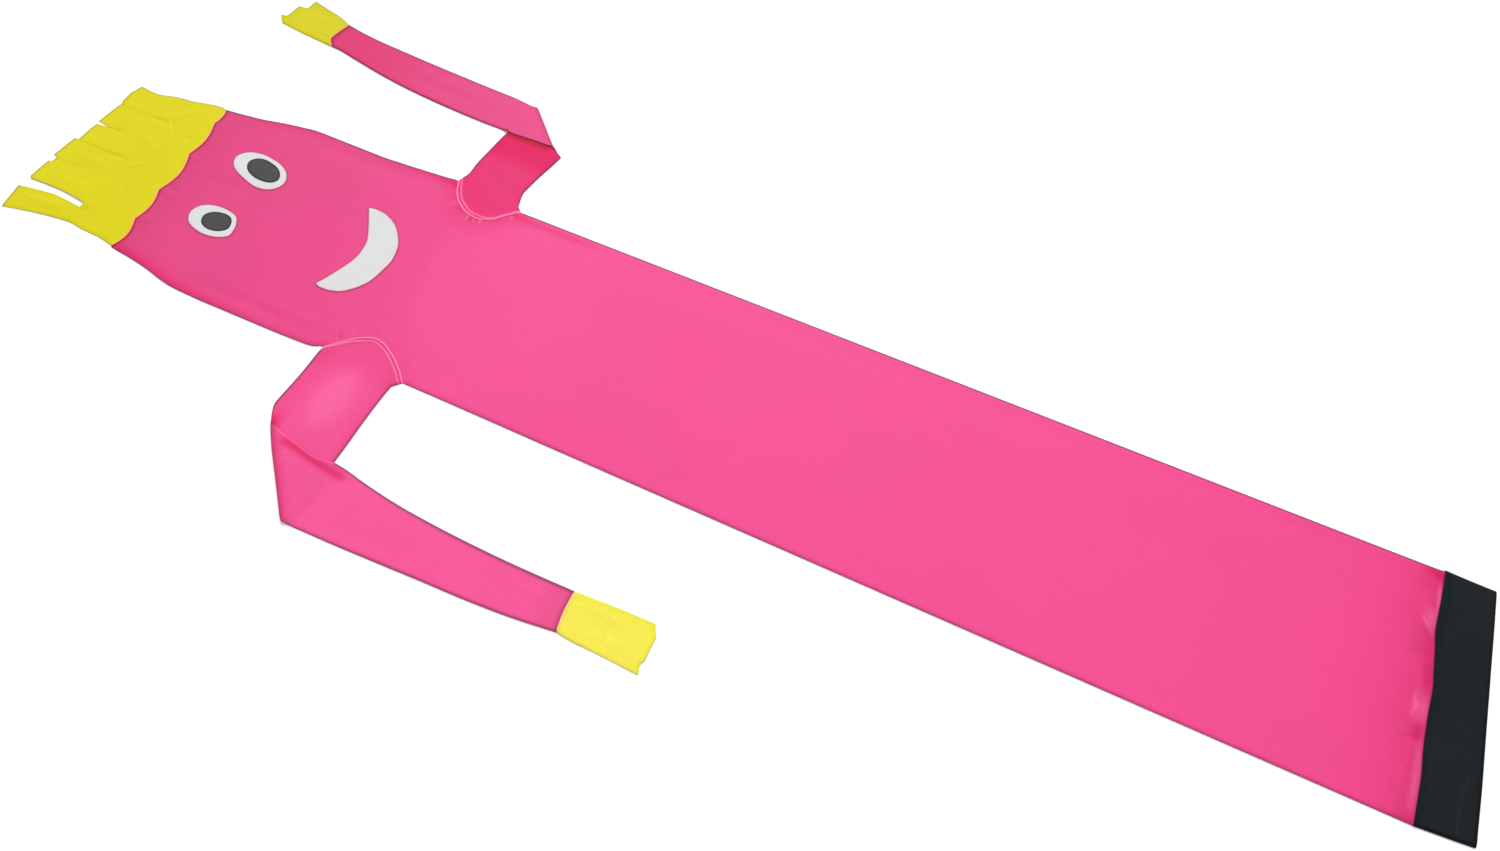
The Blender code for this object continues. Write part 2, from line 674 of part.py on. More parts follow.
def main():
    for obj in list(bpy.data.objects):
        bpy.data.objects.remove(obj, do_unlink=True)
    make_collar()
    make_body()
    make_hair()
    left_drop = LEFT_UPPER_ARM[0].a_y
    right_drop = RIGHT_UPPER_ARM[0].b_y - 0.004
    make_arm("left_arm", LEFT_ARMHOLE, LEFT_UPPER_ARM, LEFT_FOLD_START, LEFT_FOLD_END,
             LEFT_FOREARM, LEFT_WRIST, left_drop, False)
    make_arm("right_arm", RIGHT_ARMHOLE, RIGHT_UPPER_ARM, RIGHT_FOLD, RIGHT_FOLD,
             RIGHT_FOREARM, RIGHT_WRIST, right_drop, True)
    make_hand("left_hand", LEFT_WRIST, LEFT_HAND, LEFT_HAND_END)
    make_hand("right_hand", RIGHT_WRIST, RIGHT_HAND, RIGHT_HAND_END)
    make_face()


main()
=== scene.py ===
# %% [markdown]
# # An air dancer, let down and laid out flat
#
# An air dancer is a tall tube of thin coated nylon that a blower keeps standing. This lesson makes
# one with the blower off: every sleeve lies pressed flat on its back, with a little air left in it.
# The rough solids of the part come first, as a fixed frame, and each sleeve is then dressed with
# finer cloth that has the real one's seams, tucks, folds and stitches.
#
# X runs across the dancer, towards its raised left arm, and Y from the mouth of the collar to the
# hair. Z is up. All sizes are in metres.

# %% Load the frame
import json
import math
from collections import namedtuple

import bmesh
import bpy
import numpy as np
from mathutils import Matrix, Vector

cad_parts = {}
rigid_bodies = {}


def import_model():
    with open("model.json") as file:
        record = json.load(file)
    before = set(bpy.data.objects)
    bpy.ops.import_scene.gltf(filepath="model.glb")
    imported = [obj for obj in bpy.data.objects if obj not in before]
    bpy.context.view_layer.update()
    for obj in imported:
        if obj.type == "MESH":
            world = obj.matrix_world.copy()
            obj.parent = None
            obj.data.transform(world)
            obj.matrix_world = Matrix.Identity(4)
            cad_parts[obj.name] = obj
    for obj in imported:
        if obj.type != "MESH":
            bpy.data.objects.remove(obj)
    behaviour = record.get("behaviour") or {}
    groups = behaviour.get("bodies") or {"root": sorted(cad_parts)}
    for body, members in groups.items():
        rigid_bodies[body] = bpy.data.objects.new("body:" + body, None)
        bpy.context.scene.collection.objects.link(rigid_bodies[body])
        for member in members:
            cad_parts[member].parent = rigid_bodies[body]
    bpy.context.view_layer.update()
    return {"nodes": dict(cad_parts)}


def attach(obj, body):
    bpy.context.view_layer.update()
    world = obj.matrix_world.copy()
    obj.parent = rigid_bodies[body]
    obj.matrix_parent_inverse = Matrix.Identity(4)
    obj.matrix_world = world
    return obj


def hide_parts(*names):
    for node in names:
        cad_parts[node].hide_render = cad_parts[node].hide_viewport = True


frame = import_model()
scene = bpy.context.scene


def add_object(name, data):
    """A new object in the scene."""
    made = bpy.data.objects.new(name, data)
    scene.collection.objects.link(made)
    return made


def rows_of(kind, *rows):
    """A table's rows, as named tuples of one kind."""
    return [kind(*row) for row in rows]


# %% [markdown]
# ## The camera
#
# The camera stands on the dancer's right, a little way up its body, and looks down across it with a
# fairly wide lens. Its place and its three axes are written out as numbers, which keeps the slight
# roll of a camera held in the hand. A Track To constraint would be easier, but it levels the view.

# %% Camera
CAMERA_PLACE = (-0.83596, 1.04639, 1.63556)
CAMERA_RIGHT = (0.41749959, -0.90847017, 0.01939164)
CAMERA_UP = (0.79886499, 0.37713153, 0.46860062)
CAMERA_BACK = (-0.43302288, -0.18014927, 0.88319727)
LENS = 22.577  # millimetres, like the sensor's width
SENSOR_WIDTH = 36.0
FARTHEST_SEEN = 50.0

camera_data = bpy.data.cameras.new("camera")
camera_data.lens = LENS
camera_data.sensor_width = SENSOR_WIDTH
camera_data.sensor_fit = "HORIZONTAL"
camera_data.clip_end = FARTHEST_SEEN
camera = add_object("camera", camera_data)
turn = Matrix((CAMERA_RIGHT, CAMERA_UP, CAMERA_BACK)).transposed()
camera.matrix_world = Matrix.Translation(CAMERA_PLACE) @ turn.to_4x4()
scene.camera = camera
print("camera: looks down by", round(math.degrees(math.asin(CAMERA_BACK[2])), 1), "degrees")

# %% [markdown]
# ## Floor and light
#
# The cloth lies on a plain, nearly white floor. A pale sky lights everything evenly, and a wide soft
# sun on the far side rakes across the cloth, so its low folds show. A narrow sun would draw them
# more strongly, but real shade tents and windows are wide, and a lamp close by would light one arm
# more than the other. The Standard view transform keeps the strong pink and yellow as they are,
# where a film-like one would wash them out.

# %% Floor, sky and sun
FLOOR_SIZE = 14.0
FLOOR_MIDDLE = 1.5  # the Y of its middle, half way along the dancer
FLOOR_DROP = 0.0006  # keeps the floor clear of the underside of the cloth
FLOOR_GREY = 0.96
FLOOR_ROUGHNESS = 0.9
SKY_STRENGTH = 0.66
SUN_FROM = (0.86, 0.30, 0.72)
SUN_STRENGTH = 2.90
SUN_SPREAD = 40.0  # degrees across, which sets how soft its shadows are

scene.view_settings.view_transform = "Standard"
scene.view_settings.look = "None"

world = bpy.data.worlds.new("sky")
world.use_nodes = True
sky = world.node_tree.nodes["Background"]
sky.inputs["Color"].default_value = (1.0, 1.0, 1.0, 1.0)
sky.inputs["Strength"].default_value = SKY_STRENGTH
scene.world = world

sun_data = bpy.data.lights.new("sun", "SUN")
sun_data.energy = SUN_STRENGTH
sun_data.angle = math.radians(SUN_SPREAD)
sun = add_object("sun", sun_data)
sun.rotation_euler = Vector(SUN_FROM).to_track_quat("Z", "Y").to_euler()

half = FLOOR_SIZE / 2
floor_corners = [(x, FLOOR_MIDDLE + y, -FLOOR_DROP)
                 for x, y in ((-half, -half), (half, -half), (half, half), (-half, half))]
floor_mesh = bpy.data.meshes.new("floor")
floor_mesh.from_pydata(floor_corners, [], [(0, 1, 2, 3)])
floor = add_object("floor", floor_mesh)
floor_paint = bpy.data.materials.new("floor_paint")
floor_paint.use_nodes = True
floor_shader = floor_paint.node_tree.nodes["Principled BSDF"]
floor_shader.inputs["Base Color"].default_value = (FLOOR_GREY, FLOOR_GREY, FLOOR_GREY, 1.0)
floor_shader.inputs["Roughness"].default_value = FLOOR_ROUGHNESS
floor_shader.inputs["Specular IOR Level"].default_value = 0.0
floor_mesh.materials.append(floor_paint)
print("sun", round(math.degrees(math.asin(Vector(SUN_FROM).normalized().z))), "degrees above the floor")

# %% [markdown]
# ## Coated nylon
#
# Dancers are sewn from thin plain-woven nylon with a soft shine. The weave is only about a
# millimetre wide, so it is a faint bump, made of two crossed Wave textures that follow the cloth's
# own UV map, which is laid out in metres. Slow noise makes the dye a little uneven, and finer noise
# gives the crinkle of coated cloth.
#
# Six attributes painted on the mesh say where the cloth's colour changes, in the order of a dye's
# tones. The first is painted shade that grows towards the head and on the raised arm, where less
# light falls. The second is painted shade that deepens the colour beside folds, in creases and by
# seams. The third is painted shade in the crack beside a seam, at a cut and at a tip. The fourth is a
# painted highlight on raised seams, ridges, tucks, pillows and wrinkles. The fifth is a dark line of
# painted shade along a pressed fold, and the last is brown-red painted shade in the crack beside
# another layer of pink cloth, where light passes through it twice. An image would be easier to
# paint, but attributes stay sharp at every size.

# %% Nylon
# A dye's plain colour, then the colours that the painted shades and highlight above mix in, in the same
# order.
Dye = namedtuple("Dye", "plain dull deep shade pale fold warm", defaults=(None,))

PINK = Dye(plain=(0.746, 0.068, 0.2475), dull=(0.613, 0.0510, 0.180), deep=(0.640, 0.003, 0.095),
           shade=(0.26, 0.012, 0.055), pale=(0.900, 0.220, 0.440), fold=(0.22, 0.040, 0.110),
           warm=(0.43, 0.0, 0.020))
YELLOW = Dye(plain=(0.620, 0.560, 0.007), dull=(0.612, 0.548, 0.006), deep=(0.52, 0.470, 0.005),
             shade=(0.36, 0.340, 0.020), pale=(0.880, 0.400, 0.110), fold=(0.36, 0.350, 0.080))
CUFF_YELLOW = Dye(plain=(0.760, 0.680, 0.070), dull=(0.750, 0.670, 0.060), deep=(0.72, 0.660, 0.010),
                  shade=(0.52, 0.500, 0.020), pale=(0.800, 0.560, 0.200), fold=(0.52, 0.520, 0.050))
BLACK = Dye(plain=(0.0079, 0.0103, 0.0125), dull=(0.0080, 0.0100, 0.0120), deep=(0.0035, 0.0095, 0.0145),
            shade=(0.0030, 0.0090, 0.0150), pale=(0.0180, 0.0210, 0.0240), fold=(0.0020, 0.0030, 0.0040))
WHITE = Dye(plain=(0.613, 0.627, 0.620), dull=(0.605, 0.620, 0.612), deep=(0.53, 0.545, 0.540),
            shade=(0.42, 0.420, 0.430), pale=(0.780, 0.530, 0.630), fold=(0.33, 0.040, 0.120))
CHARCOAL = Dye(plain=(0.048, 0.048, 0.049), dull=(0.046, 0.046, 0.047), deep=(0.034, 0.034, 0.036),
               shade=(0.024, 0.024, 0.026), pale=(0.10, 0.100, 0.100), fold=(0.012, 0.012, 0.013))
WEAVE_PITCH = 0.0011  # from one thread to the next
WAVE_PERIOD = math.pi / 10  # of a Wave texture at a scale of 1
WEAVE_DEPTH = 0.00012
CRINKLE_DEPTH = 0.0006
ROUGHNESS_SWING = 0.07
NOISE_RANGE = (0.3, 0.7)  # nearly all of a Noise texture lies between these


def fill(tree, node, inputs):
    """Give a node's inputs their values, or link them to sockets."""
    for key, value in inputs.items():
        if isinstance(value, bpy.types.NodeSocket):
            tree.links.new(value, node.inputs[key])
        else:
            node.inputs[key].default_value = value
    return node


def add_node(tree, kind, inputs=(), **settings):
    """A new node with its settings. Each of its inputs may be a value or a socket."""
    node = tree.nodes.new(kind)
    for key, value in settings.items():
        setattr(node, key, value)
    return fill(tree, node, dict(inputs))


def mix_colours(tree, share, first, second, mode="MIX"):
    """A colour Mix node. share, first and second are sockets or plain values."""
    values = [(*v, 1.0) if isinstance(v, tuple) else v for v in (share, first, second)]
    node = add_node(tree, "ShaderNodeMix", zip((0, 6, 7), values), data_type="RGBA", blend_type=mode)
    return node.outputs[2]


def noise(tree, place, scale, detail, roughness, distortion=0.0):
    """Noise in space."""
    return add_node(tree, "ShaderNodeTexNoise", {
        "Vector": place, "Scale": scale, "Detail": detail, "Roughness": roughness,
        "Distortion": distortion}).outputs["Fac"]


def swing(tree, source, middle, by):
    """Noise stretched, to go up and down from a middle value."""
    return add_node(tree, "ShaderNodeMapRange", {
        "Value": source, "From Min": NOISE_RANGE[0], "From Max": NOISE_RANGE[1],
        "To Min": middle - by, "To Max": middle + by}).outputs["Result"]


def bump(tree, height, strength, depth, **under):
    """A Bump node's normal. under may pass on the Normal of another bump."""
    inputs = {"Height": height, "Strength": strength, "Distance": depth, **under}
    return add_node(tree, "ShaderNodeBump", inputs).outputs["Normal"]


def new_material(name):
    """A material, its tree and its shader."""
    material = bpy.data.materials.new(name)
    material.use_nodes = True
    return material, material.node_tree, material.node_tree.nodes["Principled BSDF"]


def woven(name, dye, roughness=0.5, mottle=0.02, crinkle=1.0, sheen=0.02, speckle=0.04, gloss=0.08):
    """Coated woven cloth in a dye, for a piece with a UV map in metres."""
    material, tree, shader = new_material(name)
    uv = add_node(tree, "ShaderNodeUVMap", uv_map="cloth").outputs["UV"]
    place = add_node(tree, "ShaderNodeTexCoord").outputs["Object"]

    # the plain dye, with each painted shade and highlight mixed in where its attribute places it
    colour = dye.plain
    for attribute, tone in zip(dye._fields[1:], dye[1:]):
        if tone is not None:
            share = add_node(tree, "ShaderNodeAttribute", attribute_name=attribute).outputs["Fac"]
            colour = mix_colours(tree, share, colour, tone)
    cloud = noise(tree, place, 5.0, 3.0, 0.55)
    cloudy = swing(tree, cloud, 1.0, mottle)
    grainy = swing(tree, noise(tree, place, 260.0, 2.0, 0.6), 1.0, speckle)
    level = add_node(tree, "ShaderNodeMath", {0: cloudy, 1: grainy}, operation="MULTIPLY").outputs["Value"]
    grey = add_node(tree, "ShaderNodeCombineColor", {"Red": level, "Green": level, "Blue": level})
    colour = mix_colours(tree, 1.0, colour, grey.outputs["Color"], "MULTIPLY")
    rough = swing(tree, cloud, roughness, ROUGHNESS_SWING)

    scale = WAVE_PERIOD / WEAVE_PITCH
    across, along = (add_node(tree, "ShaderNodeTexWave",
                              {"Vector": uv, "Scale": scale, "Distortion": 0.4, "Detail": 0.0},
                              wave_type="BANDS", bands_direction=axis).outputs["Fac"] for axis in "XY")
    weave = add_node(tree, "ShaderNodeMath", {0: across, 1: along}, operation="MAXIMUM").outputs["Value"]
    normal = bump(tree, weave, 0.20, WEAVE_DEPTH)
    normal = bump(tree, noise(tree, place, 34.0, 4.0, 0.5, 0.6), 0.5 * crinkle, CRINKLE_DEPTH, Normal=normal)
    fill(tree, shader, {"Base Color": colour, "Roughness": rough, "Sheen Weight": sheen,
                        "Sheen Roughness": 0.45, "Specular IOR Level": gloss, "Normal": normal})
    return material


pink_cloth = woven("pink_cloth", PINK)
yellow_cloth = woven("yellow_cloth", YELLOW, mottle=0.03)
cuff_cloth = woven("cuff_cloth", CUFF_YELLOW, mottle=0.03, crinkle=1.6, gloss=0.15)
black_cloth = woven("black_cloth", BLACK, roughness=0.55, mottle=0.10, sheen=0.01, gloss=0.09)
white_cloth = woven("white_cloth", WHITE, roughness=0.6, speckle=0.05)
charcoal_cloth = woven("charcoal_cloth", CHARCOAL, roughness=0.6, mottle=0.10, sheen=0.05, speckle=0.25,
                       gloss=0.2)
print("materials:", [m.name for m in bpy.data.materials if m.name not in frame["nodes"]])

# %% [markdown]
# ## Outlines
#
# Each long sleeve is known by its two side folds: for a few places along Y, the X of the right fold
# and of the left one. A smooth curve through those points gives the fold anywhere between them.

# %% Side folds of the wide sleeves
# Each row is a Y, and the X of the right and of the left fold there.
BODY_EDGES = (
    (0.09, -0.244, 0.237), (0.13, -0.2437, 0.2353), (0.4, -0.2438, 0.235), (1.0, -0.2438, 0.235),
    (1.6, -0.2438, 0.235), (2.04, -0.244, 0.235), (2.06, -0.25, 0.2355), (2.08, -0.25, 0.242),
    (2.16, -0.25, 0.25), (2.24, -0.2405, 0.2542), (2.27, -0.2496, 0.2512), (2.35, -0.2533, 0.2451),
    (2.39, -0.254, 0.2425), (2.43, -0.2545, 0.2404), (2.5, -0.2555, 0.2405), (2.55, -0.2562, 0.2408),
    (2.615, -0.2546, 0.241), (2.65, -0.2502, 0.2364), (2.7, -0.2397, 0.2278), (2.75, -0.2322, 0.2168),
    (2.79, -0.2282, 0.211), (2.81, -0.2255, 0.2083), (2.85, -0.223, 0.204),
)
HAIR_EDGES = (
    (2.81, -0.2228, 0.204), (2.85, -0.2168, 0.204), (2.865, -0.2163, 0.207), (2.9, -0.2151, 0.2013),
    (2.935, -0.212, 0.1932), (2.98, -0.2168, 0.1872), (3.022, -0.2238, 0.1764), (3.05, -0.2293, 0.1762),
    (3.085, -0.2372, 0.1802), (3.125, -0.247, 0.185),
)
COLLAR_EDGES = (
    (0.0, -0.236, 0.236), (0.03, -0.239, 0.2364), (0.065, -0.2417, 0.2376), (0.1, -0.2445, 0.2392),
)
CURVE_STEPS = 8  # between two points of a smooth curve


def smooth(points):
    """Dense points on a smooth curve through the given points."""
    corners = np.array(points, dtype=float)
    ends = np.vstack([2 * corners[0] - corners[1], corners, 2 * corners[-1] - corners[-2]])
    t = np.arange(CURVE_STEPS)[:, None] / CURVE_STEPS
    dense = []
    for a, b, c, d in zip(ends, ends[1:], ends[2:], ends[3:]):
        line = 2 * b + (c - a) * t
        bend = (2 * a - 5 * b + 4 * c - d) * t**2 + (3 * b - a - 3 * c + d) * t**3
        dense.append(0.5 * (line + bend))
    return np.vstack([*dense, corners[-1:]])


def lengths(curve):
    """The length of each step of a polyline, and the run from its start to each of its points."""
    steps = np.linalg.norm(np.diff(curve, axis=0), axis=1)
    return steps, np.concatenate([[0.0], np.cumsum(steps)])


def points_at(curve, run, wanted):
    """Points on a flat polyline at the wanted places of its run."""
    return np.stack([np.interp(wanted, run, curve[:, k]) for k in (0, 1)], axis=-1)


def spread(curve, count):
    """count + 1 points spaced evenly along a polyline."""
    run = lengths(curve)[1]
    return points_at(curve, run, np.linspace(0.0, run[-1], count + 1))


def look_up(table, place):
    """The value at a place, from pairs of a place and its value."""
    return np.interp(place, *np.transpose(table))


def folds_of(table):
    """A function that gives the right fold's X and the left fold's X at any Y."""
    right, left = (smooth([(row[0], row[side]) for row in table]) for side in (1, 2))
    return lambda y: (look_up(right, y), look_up(left, y))


body_folds = folds_of(BODY_EDGES)
hair_folds = folds_of(HAIR_EDGES)
collar_folds = folds_of(COLLAR_EDGES)


def to_fold(folds, x, y):
    """The distance across from points to the nearer side fold."""
    right, left = folds(y)
    return np.minimum(x - right, left - x)


print("body is", round(float(np.subtract(*body_folds(1.0)[::-1])), 3), "m across at y = 1")

# %% [markdown]
# ## Two wandering seams
#
# The collar's seam waves a little, as a long seam sewn by eye does. The hair's seam slants and hangs
# in scallops between the points where it was tacked. Both are written as functions, because the body
# and its neighbour have to agree on the line.

# %% Seam lines
COLLAR_SEAM = 0.0953
COLLAR_LINE = (
    (-0.25, 0.0973), (-0.22, 0.0961), (-0.19, 0.0952), (-0.155, 0.0944), (-0.12, 0.0961),
    (-0.08, 0.0957), (-0.04, 0.0943), (0.0, 0.0918), (0.04, 0.0937), (0.08, 0.0959), (0.11, 0.0982),
    (0.14, 0.0969), (0.18, 0.094), (0.21, 0.0928), (0.245, 0.0918),
)
HAIR_SEAM = 2.8280
HAIR_SLANT = 0.0975
TACKS = ((-0.2255, 0.0), (-0.145, -0.0028), (-0.058, -0.0014), (0.056, -0.0014), (0.155, 0.0), (0.204, 0.0))
SCALLOP_DROPS = (0.0120, 0.0108, 0.0153, 0.0112, 0.0050)  # between one tack and the next
SEAM_FADE = 0.16


def collar_seam(x):
    """Y of the collar's wandering seam."""
    return look_up(smooth(COLLAR_LINE), x)


def hair_seam(x):
    """Y of the hair's slanting, scalloped seam."""
    x = np.asarray(x, dtype=float)
    y = HAIR_SEAM + HAIR_SLANT * x + look_up(TACKS, x)
    for (start, _), (end, _), drop in zip(TACKS, TACKS[1:], SCALLOP_DROPS):
        share = (x - start) / (end - start)
        y = y - np.where((share > 0) & (share < 1), drop * np.sin(math.pi * np.clip(share, 0, 1)), 0.0)
    return y


print("collar seam at", round(float(collar_seam(0.0)), 4), "hair seam at", round(float(hair_seam(0.0)), 4))

# %% [markdown]
# ## Creases one by one
#
# Nylon that has been rolled up and laid out again keeps a few soft creases, puckers where a seam
# draws it in, and pillows of air beside a stiff collar. Noise makes cloth look uniformly dented, so
# each of these is placed one by one as a low ridge or trough: two end points, a bend, a height and a
# width. Their sum is the relief of the cloth.

# %% Creases
Crease = namedtuple("Crease", "x y end_x end_y bend height width")
CREASE_OVERRUN = 0.1  # a crease fades out this share of its length past each end
CREASE_FADE = 0.4
SWELL_WAVES = (0.31, 0.23, 0.17, 0.12, 0.085)
SWELL_SUM = 0.9  # of the waves' lengths, nearly


def ease(t):
    """0 below 0, 1 above 1, and smooth between."""
    t = np.clip(t, 0.0, 1.0)
    return t * t * (3 - 2 * t)


def bell(distance, width, power=2):
    """1 at distance 0, and less on both sides. A higher power makes a flatter top."""
    return np.exp(-((distance / width) ** power))


def decay(distance, width):
    """1 at distance 0, and less and less away from it."""
    return np.exp(-distance / width)


def relief(creases, x, y):
    """The height that a list of creases adds at the points x, y."""
    total = np.zeros(np.shape(x))
    for c in creases:
        way_x, way_y = c.end_x - c.x, c.end_y - c.y
        length = math.hypot(way_x, way_y)
        along = ((x - c.x) * way_x + (y - c.y) * way_y) / length**2
        across = ((y - c.y) * way_x - (x - c.x) * way_y) / length
        across = across - c.bend * 4 * along * (1 - along)
        fade_in = ease((along + CREASE_OVERRUN) / CREASE_FADE)
        fade_out = ease((1 + CREASE_OVERRUN - along) / CREASE_FADE)
        total += c.height * (fade_in * fade_out) * bell(across, c.width)
    return total


def bump_at(x, y, centre_x, centre_y, half_x, half_y):
    """1 in the middle of a soft oval and 0 outside it."""
    return ease(1.25 - np.hypot((x - centre_x) / half_x, (y - centre_y) / half_y))


def swell(x, y, height, seed):
    """Slow unevenness of loose cloth, from a few crossed waves."""
    rng = np.random.default_rng(seed)
    total = np.zeros(np.shape(x))
    for length in SWELL_WAVES:
        angle, phase = rng.uniform(0, math.pi), rng.uniform(0, 2 * math.pi)
        run = (x * math.cos(angle) + y * math.sin(angle)) / length
        total += length * np.sin(2 * math.pi * run + phase)
    return height * total / SWELL_SUM


CHEST = rows_of(  # a wide soft step between the head and the long tube, and drag from each shoulder
    Crease,
    (0.165, 2.165, -0.15, 2.105, 0.022, -0.001, 0.03),
    (0.15, 2.11, -0.12, 2.06, 0.02, 0.0009, 0.04),
    (0.172, 2.128, 0.205, 1.95, 0.01, -0.0003, 0.012),
    (-0.195, 2.105, -0.218, 1.96, -0.006, 0.0003, 0.01),
)
ARMHOLE_TUCKS = rows_of(  # that the armholes' seams draw in, first the left one's
    Crease,
    (0.178, 2.165, 0.159, 2.161, 0.002, 0.0015, 0.0028),
    (0.176, 2.154, 0.156, 2.152, 0.001, -0.0013, 0.0035),
    (0.18, 2.147, 0.163, 2.144, 0.0, 0.0016, 0.0028),
    (0.18, 2.134, 0.161, 2.129, 0.001, 0.0015, 0.0032),
    (0.19, 2.19, 0.172, 2.196, 0.0, -0.0007, 0.0045),
    (0.2, 2.207, 0.182, 2.215, 0.0, 0.0006, 0.004),
    (0.222, 2.085, 0.205, 2.07, 0.0, 0.0008, 0.0045),
    (-0.172, 2.16, -0.156, 2.162, 0.0, -0.0004, 0.004),
    (-0.174, 2.146, -0.158, 2.143, 0.0, 0.0002, 0.004),
    (-0.195, 2.2, -0.18, 2.212, 0.0, 0.0003, 0.0045),
    (-0.212, 2.216, -0.2, 2.232, 0.0, -0.0008, 0.005),
    (-0.203, 2.098, -0.188, 2.086, 0.0, 0.0002, 0.0045),
)
HEAD = rows_of(  # rolled in along its right side, slack under the hair
    Crease,
    (-0.222, 2.3, -0.228, 2.62, -0.004, -0.0012, 0.014),
    (-0.2, 2.26, -0.205, 2.44, 0.0, 0.0009, 0.016),
    (0.215, 2.3, 0.205, 2.6, 0.0, -0.0008, 0.014),
    (-0.047, 2.816, -0.066, 2.788, 0.0, 0.0013, 0.005),
    (-0.036, 2.812, -0.05, 2.78, 0.0, -0.0009, 0.006),
    (-0.14, 2.806, -0.133, 2.77, 0.0, 0.0009, 0.007),
    (0.054, 2.828, 0.048, 2.795, 0.0, 0.0009, 0.007),
    (0.165, 2.838, 0.16, 2.8, 0.0, 0.0008, 0.008),
    (-0.19, 2.79, 0.18, 2.815, -0.006, 0.0011, 0.016),
    (0.01, 2.77, 0.016, 2.6, 0.004, -0.0006, 0.014),
)
COLLAR_PILLOWS = rows_of(  # of air against the collar, with tucks between them
    Crease,
    (-0.218, 0.117, -0.115, 0.119, 0.002, 0.0021, 0.0095),
    (-0.088, 0.117, -0.028, 0.118, -0.001, 0.0022, 0.009),
    (-0.03, 0.112, 0.03, 0.113, 0.0, 0.0018, 0.0085),
    (0.092, 0.113, 0.158, 0.12, 0.002, 0.0022, 0.0085),
    (0.133, 0.12, 0.102, 0.101, 0.0, -0.0018, 0.0032),
    (0.12, 0.125, 0.108, 0.108, 0.0, 0.0014, 0.0028),
    (-0.1, 0.099, -0.105, 0.135, 0.0, -0.0015, 0.005),
    (-0.038, 0.1, -0.027, 0.126, 0.0, -0.0012, 0.004),
    (0.06, 0.1, 0.05, 0.14, 0.0, -0.0012, 0.012),
    (0.185, 0.101, 0.19, 0.14, 0.0, -0.001, 0.01),
    (-0.16, 0.1, -0.15, 0.15, 0.0, -0.0006, 0.006),
)
TUBE = rows_of(  # long, barely seen creases
    Crease,
    (0.06, 0.33, 0.1, 0.9, 0.01, -0.0002, 0.02),
    (-0.09, 0.5, -0.06, 1.3, -0.012, 0.0002, 0.022),
    (0.12, 1.15, 0.08, 1.78, 0.01, 0.0002, 0.022),
)
BODY_CREASES = [*CHEST, *ARMHOLE_TUCKS, *HEAD, *COLLAR_PILLOWS, *TUBE]
print("body creases:", len(BODY_CREASES))

# %% [markdown]
# ## A sleeve pressed flat
#
# A flattened sleeve is one closed ring of cloth, row after row: over the front from the right fold
# to the left one, and back along the underside. Inside that outer skin lies a second, a wall's
# thickness away, and rims join the two wherever the cloth ends. A Solidify modifier could make the
# wall, but on a sharp fold its inner skin crosses itself. Here the inner points are pressed towards
# the middle of the sleeve instead, so that even the folds stay clean enough for scissors.

# %% Sleeve builder
WALL = 0.0004  # the cloth as drawn
FOLD_HEIGHT = 0.0006  # of the middle of a side fold above the floor
FRONT_ROLL = 0.009  # the front rises from its side fold over this width
UNDER_ROLL = 0.0030
FOLD_STEPS = (0.0, 0.0003, 0.0010, 0.0021, 0.0038, 0.0062, 0.0095)
SQUEEZE_SHARE = 0.08  # the part of a sleeve, beside each fold, in which the inner skin draws in
THINNEST = 0.3  # the least share of its room that the inner skin keeps
SNUG = 0.00008  # the step between rows that lie together on the hidden side of a seam
CRISP_ANGLE = 48  # degrees, above which an edge is drawn sharp


def roll(distance, width):
    """How far a surface has rolled up from a fold: 0 on it and 1 from width away."""
    left = 1 - np.clip(distance / width, 0.0, 1.0)
    return np.sqrt(1 - left**2)


def rolled(height, distance, width=FRONT_ROLL):
    """A front's height, rolled down to the middle of its side fold."""
    return FOLD_HEIGHT + (height - FOLD_HEIGHT) * roll(distance, width)


def columns(width, step, folds=FOLD_STEPS):
    """Shares across a sleeve, closer together near its side folds."""
    near = np.array(folds) / width
    count = max(int(round((width - 2 * folds[-1]) / step)), 2)
    middle = np.linspace(near[-1], 1 - near[-1], count + 1)[1:-1]
    return np.concatenate([near, middle, 1 - near[::-1]])


def set_attribute(mesh, name, values):
    """Store one number per vertex."""
    old = mesh.attributes.get(name)
    if old:
        mesh.attributes.remove(old)
    layer = mesh.attributes.new(name, "FLOAT", "POINT")
    layer.data.foreach_set("value", np.asarray(values, dtype=np.float32).ravel())


def edit_mesh(mesh, work):
    """Run a bmesh operation on a mesh. work takes the bmesh."""
    shaped = bmesh.new()
    shaped.from_mesh(mesh)
    work(shaped)
    shaped.to_mesh(mesh)
    shaped.free()


def plain_mesh(obj):
    """Apply an object's modifiers, and leave it a plain mesh."""
    bpy.context.view_layer.update()
    graph = bpy.context.evaluated_depsgraph_get()
    made = bpy.data.meshes.new_from_object(obj.evaluated_get(graph), depsgraph=graph)
    obj.modifiers.clear()
    old = obj.data
    obj.data = made
    bpy.data.meshes.remove(old)
    made.name = obj.name


def shade_smooth(mesh):
    mesh.polygons.foreach_set("use_smooth", np.ones(len(mesh.polygons), dtype=bool))


def finish_cloth(obj, material):
    """Smooth shading with crisp rims, and the cloth's own material."""
    mesh = obj.data
    mesh.materials.clear()
    mesh.materials.append(material)
    shade_smooth(mesh)
    mesh.set_sharp_from_angle(angle=math.radians(CRISP_ANGLE))
    mesh.update()
    return obj


SIDE = 0.26  # the arms lie beyond this X on both sides
CHEST_STEP = (
    (-0.26, 2.01), (-0.2, 2.05), (-0.116, 2.106), (-0.059, 2.132), (0.043, 2.15), (0.149, 2.163),
    (0.26, 2.185),
)
# Painted shade where less light falls, on the head and on the raised arm: a Y, and how strong it is there.
HEAD_FALLOFF = ((2.16, 0.0), (2.45, 0.30), (2.70, 0.50), (2.80, 0.74))
RAISED_FALLOFF = ((2.05, 0.3), (2.30, 0.66), (2.50, 0.82), (2.70, 1.0))
FOREARM_START = 0.4290  # the X at which the raised forearm starts


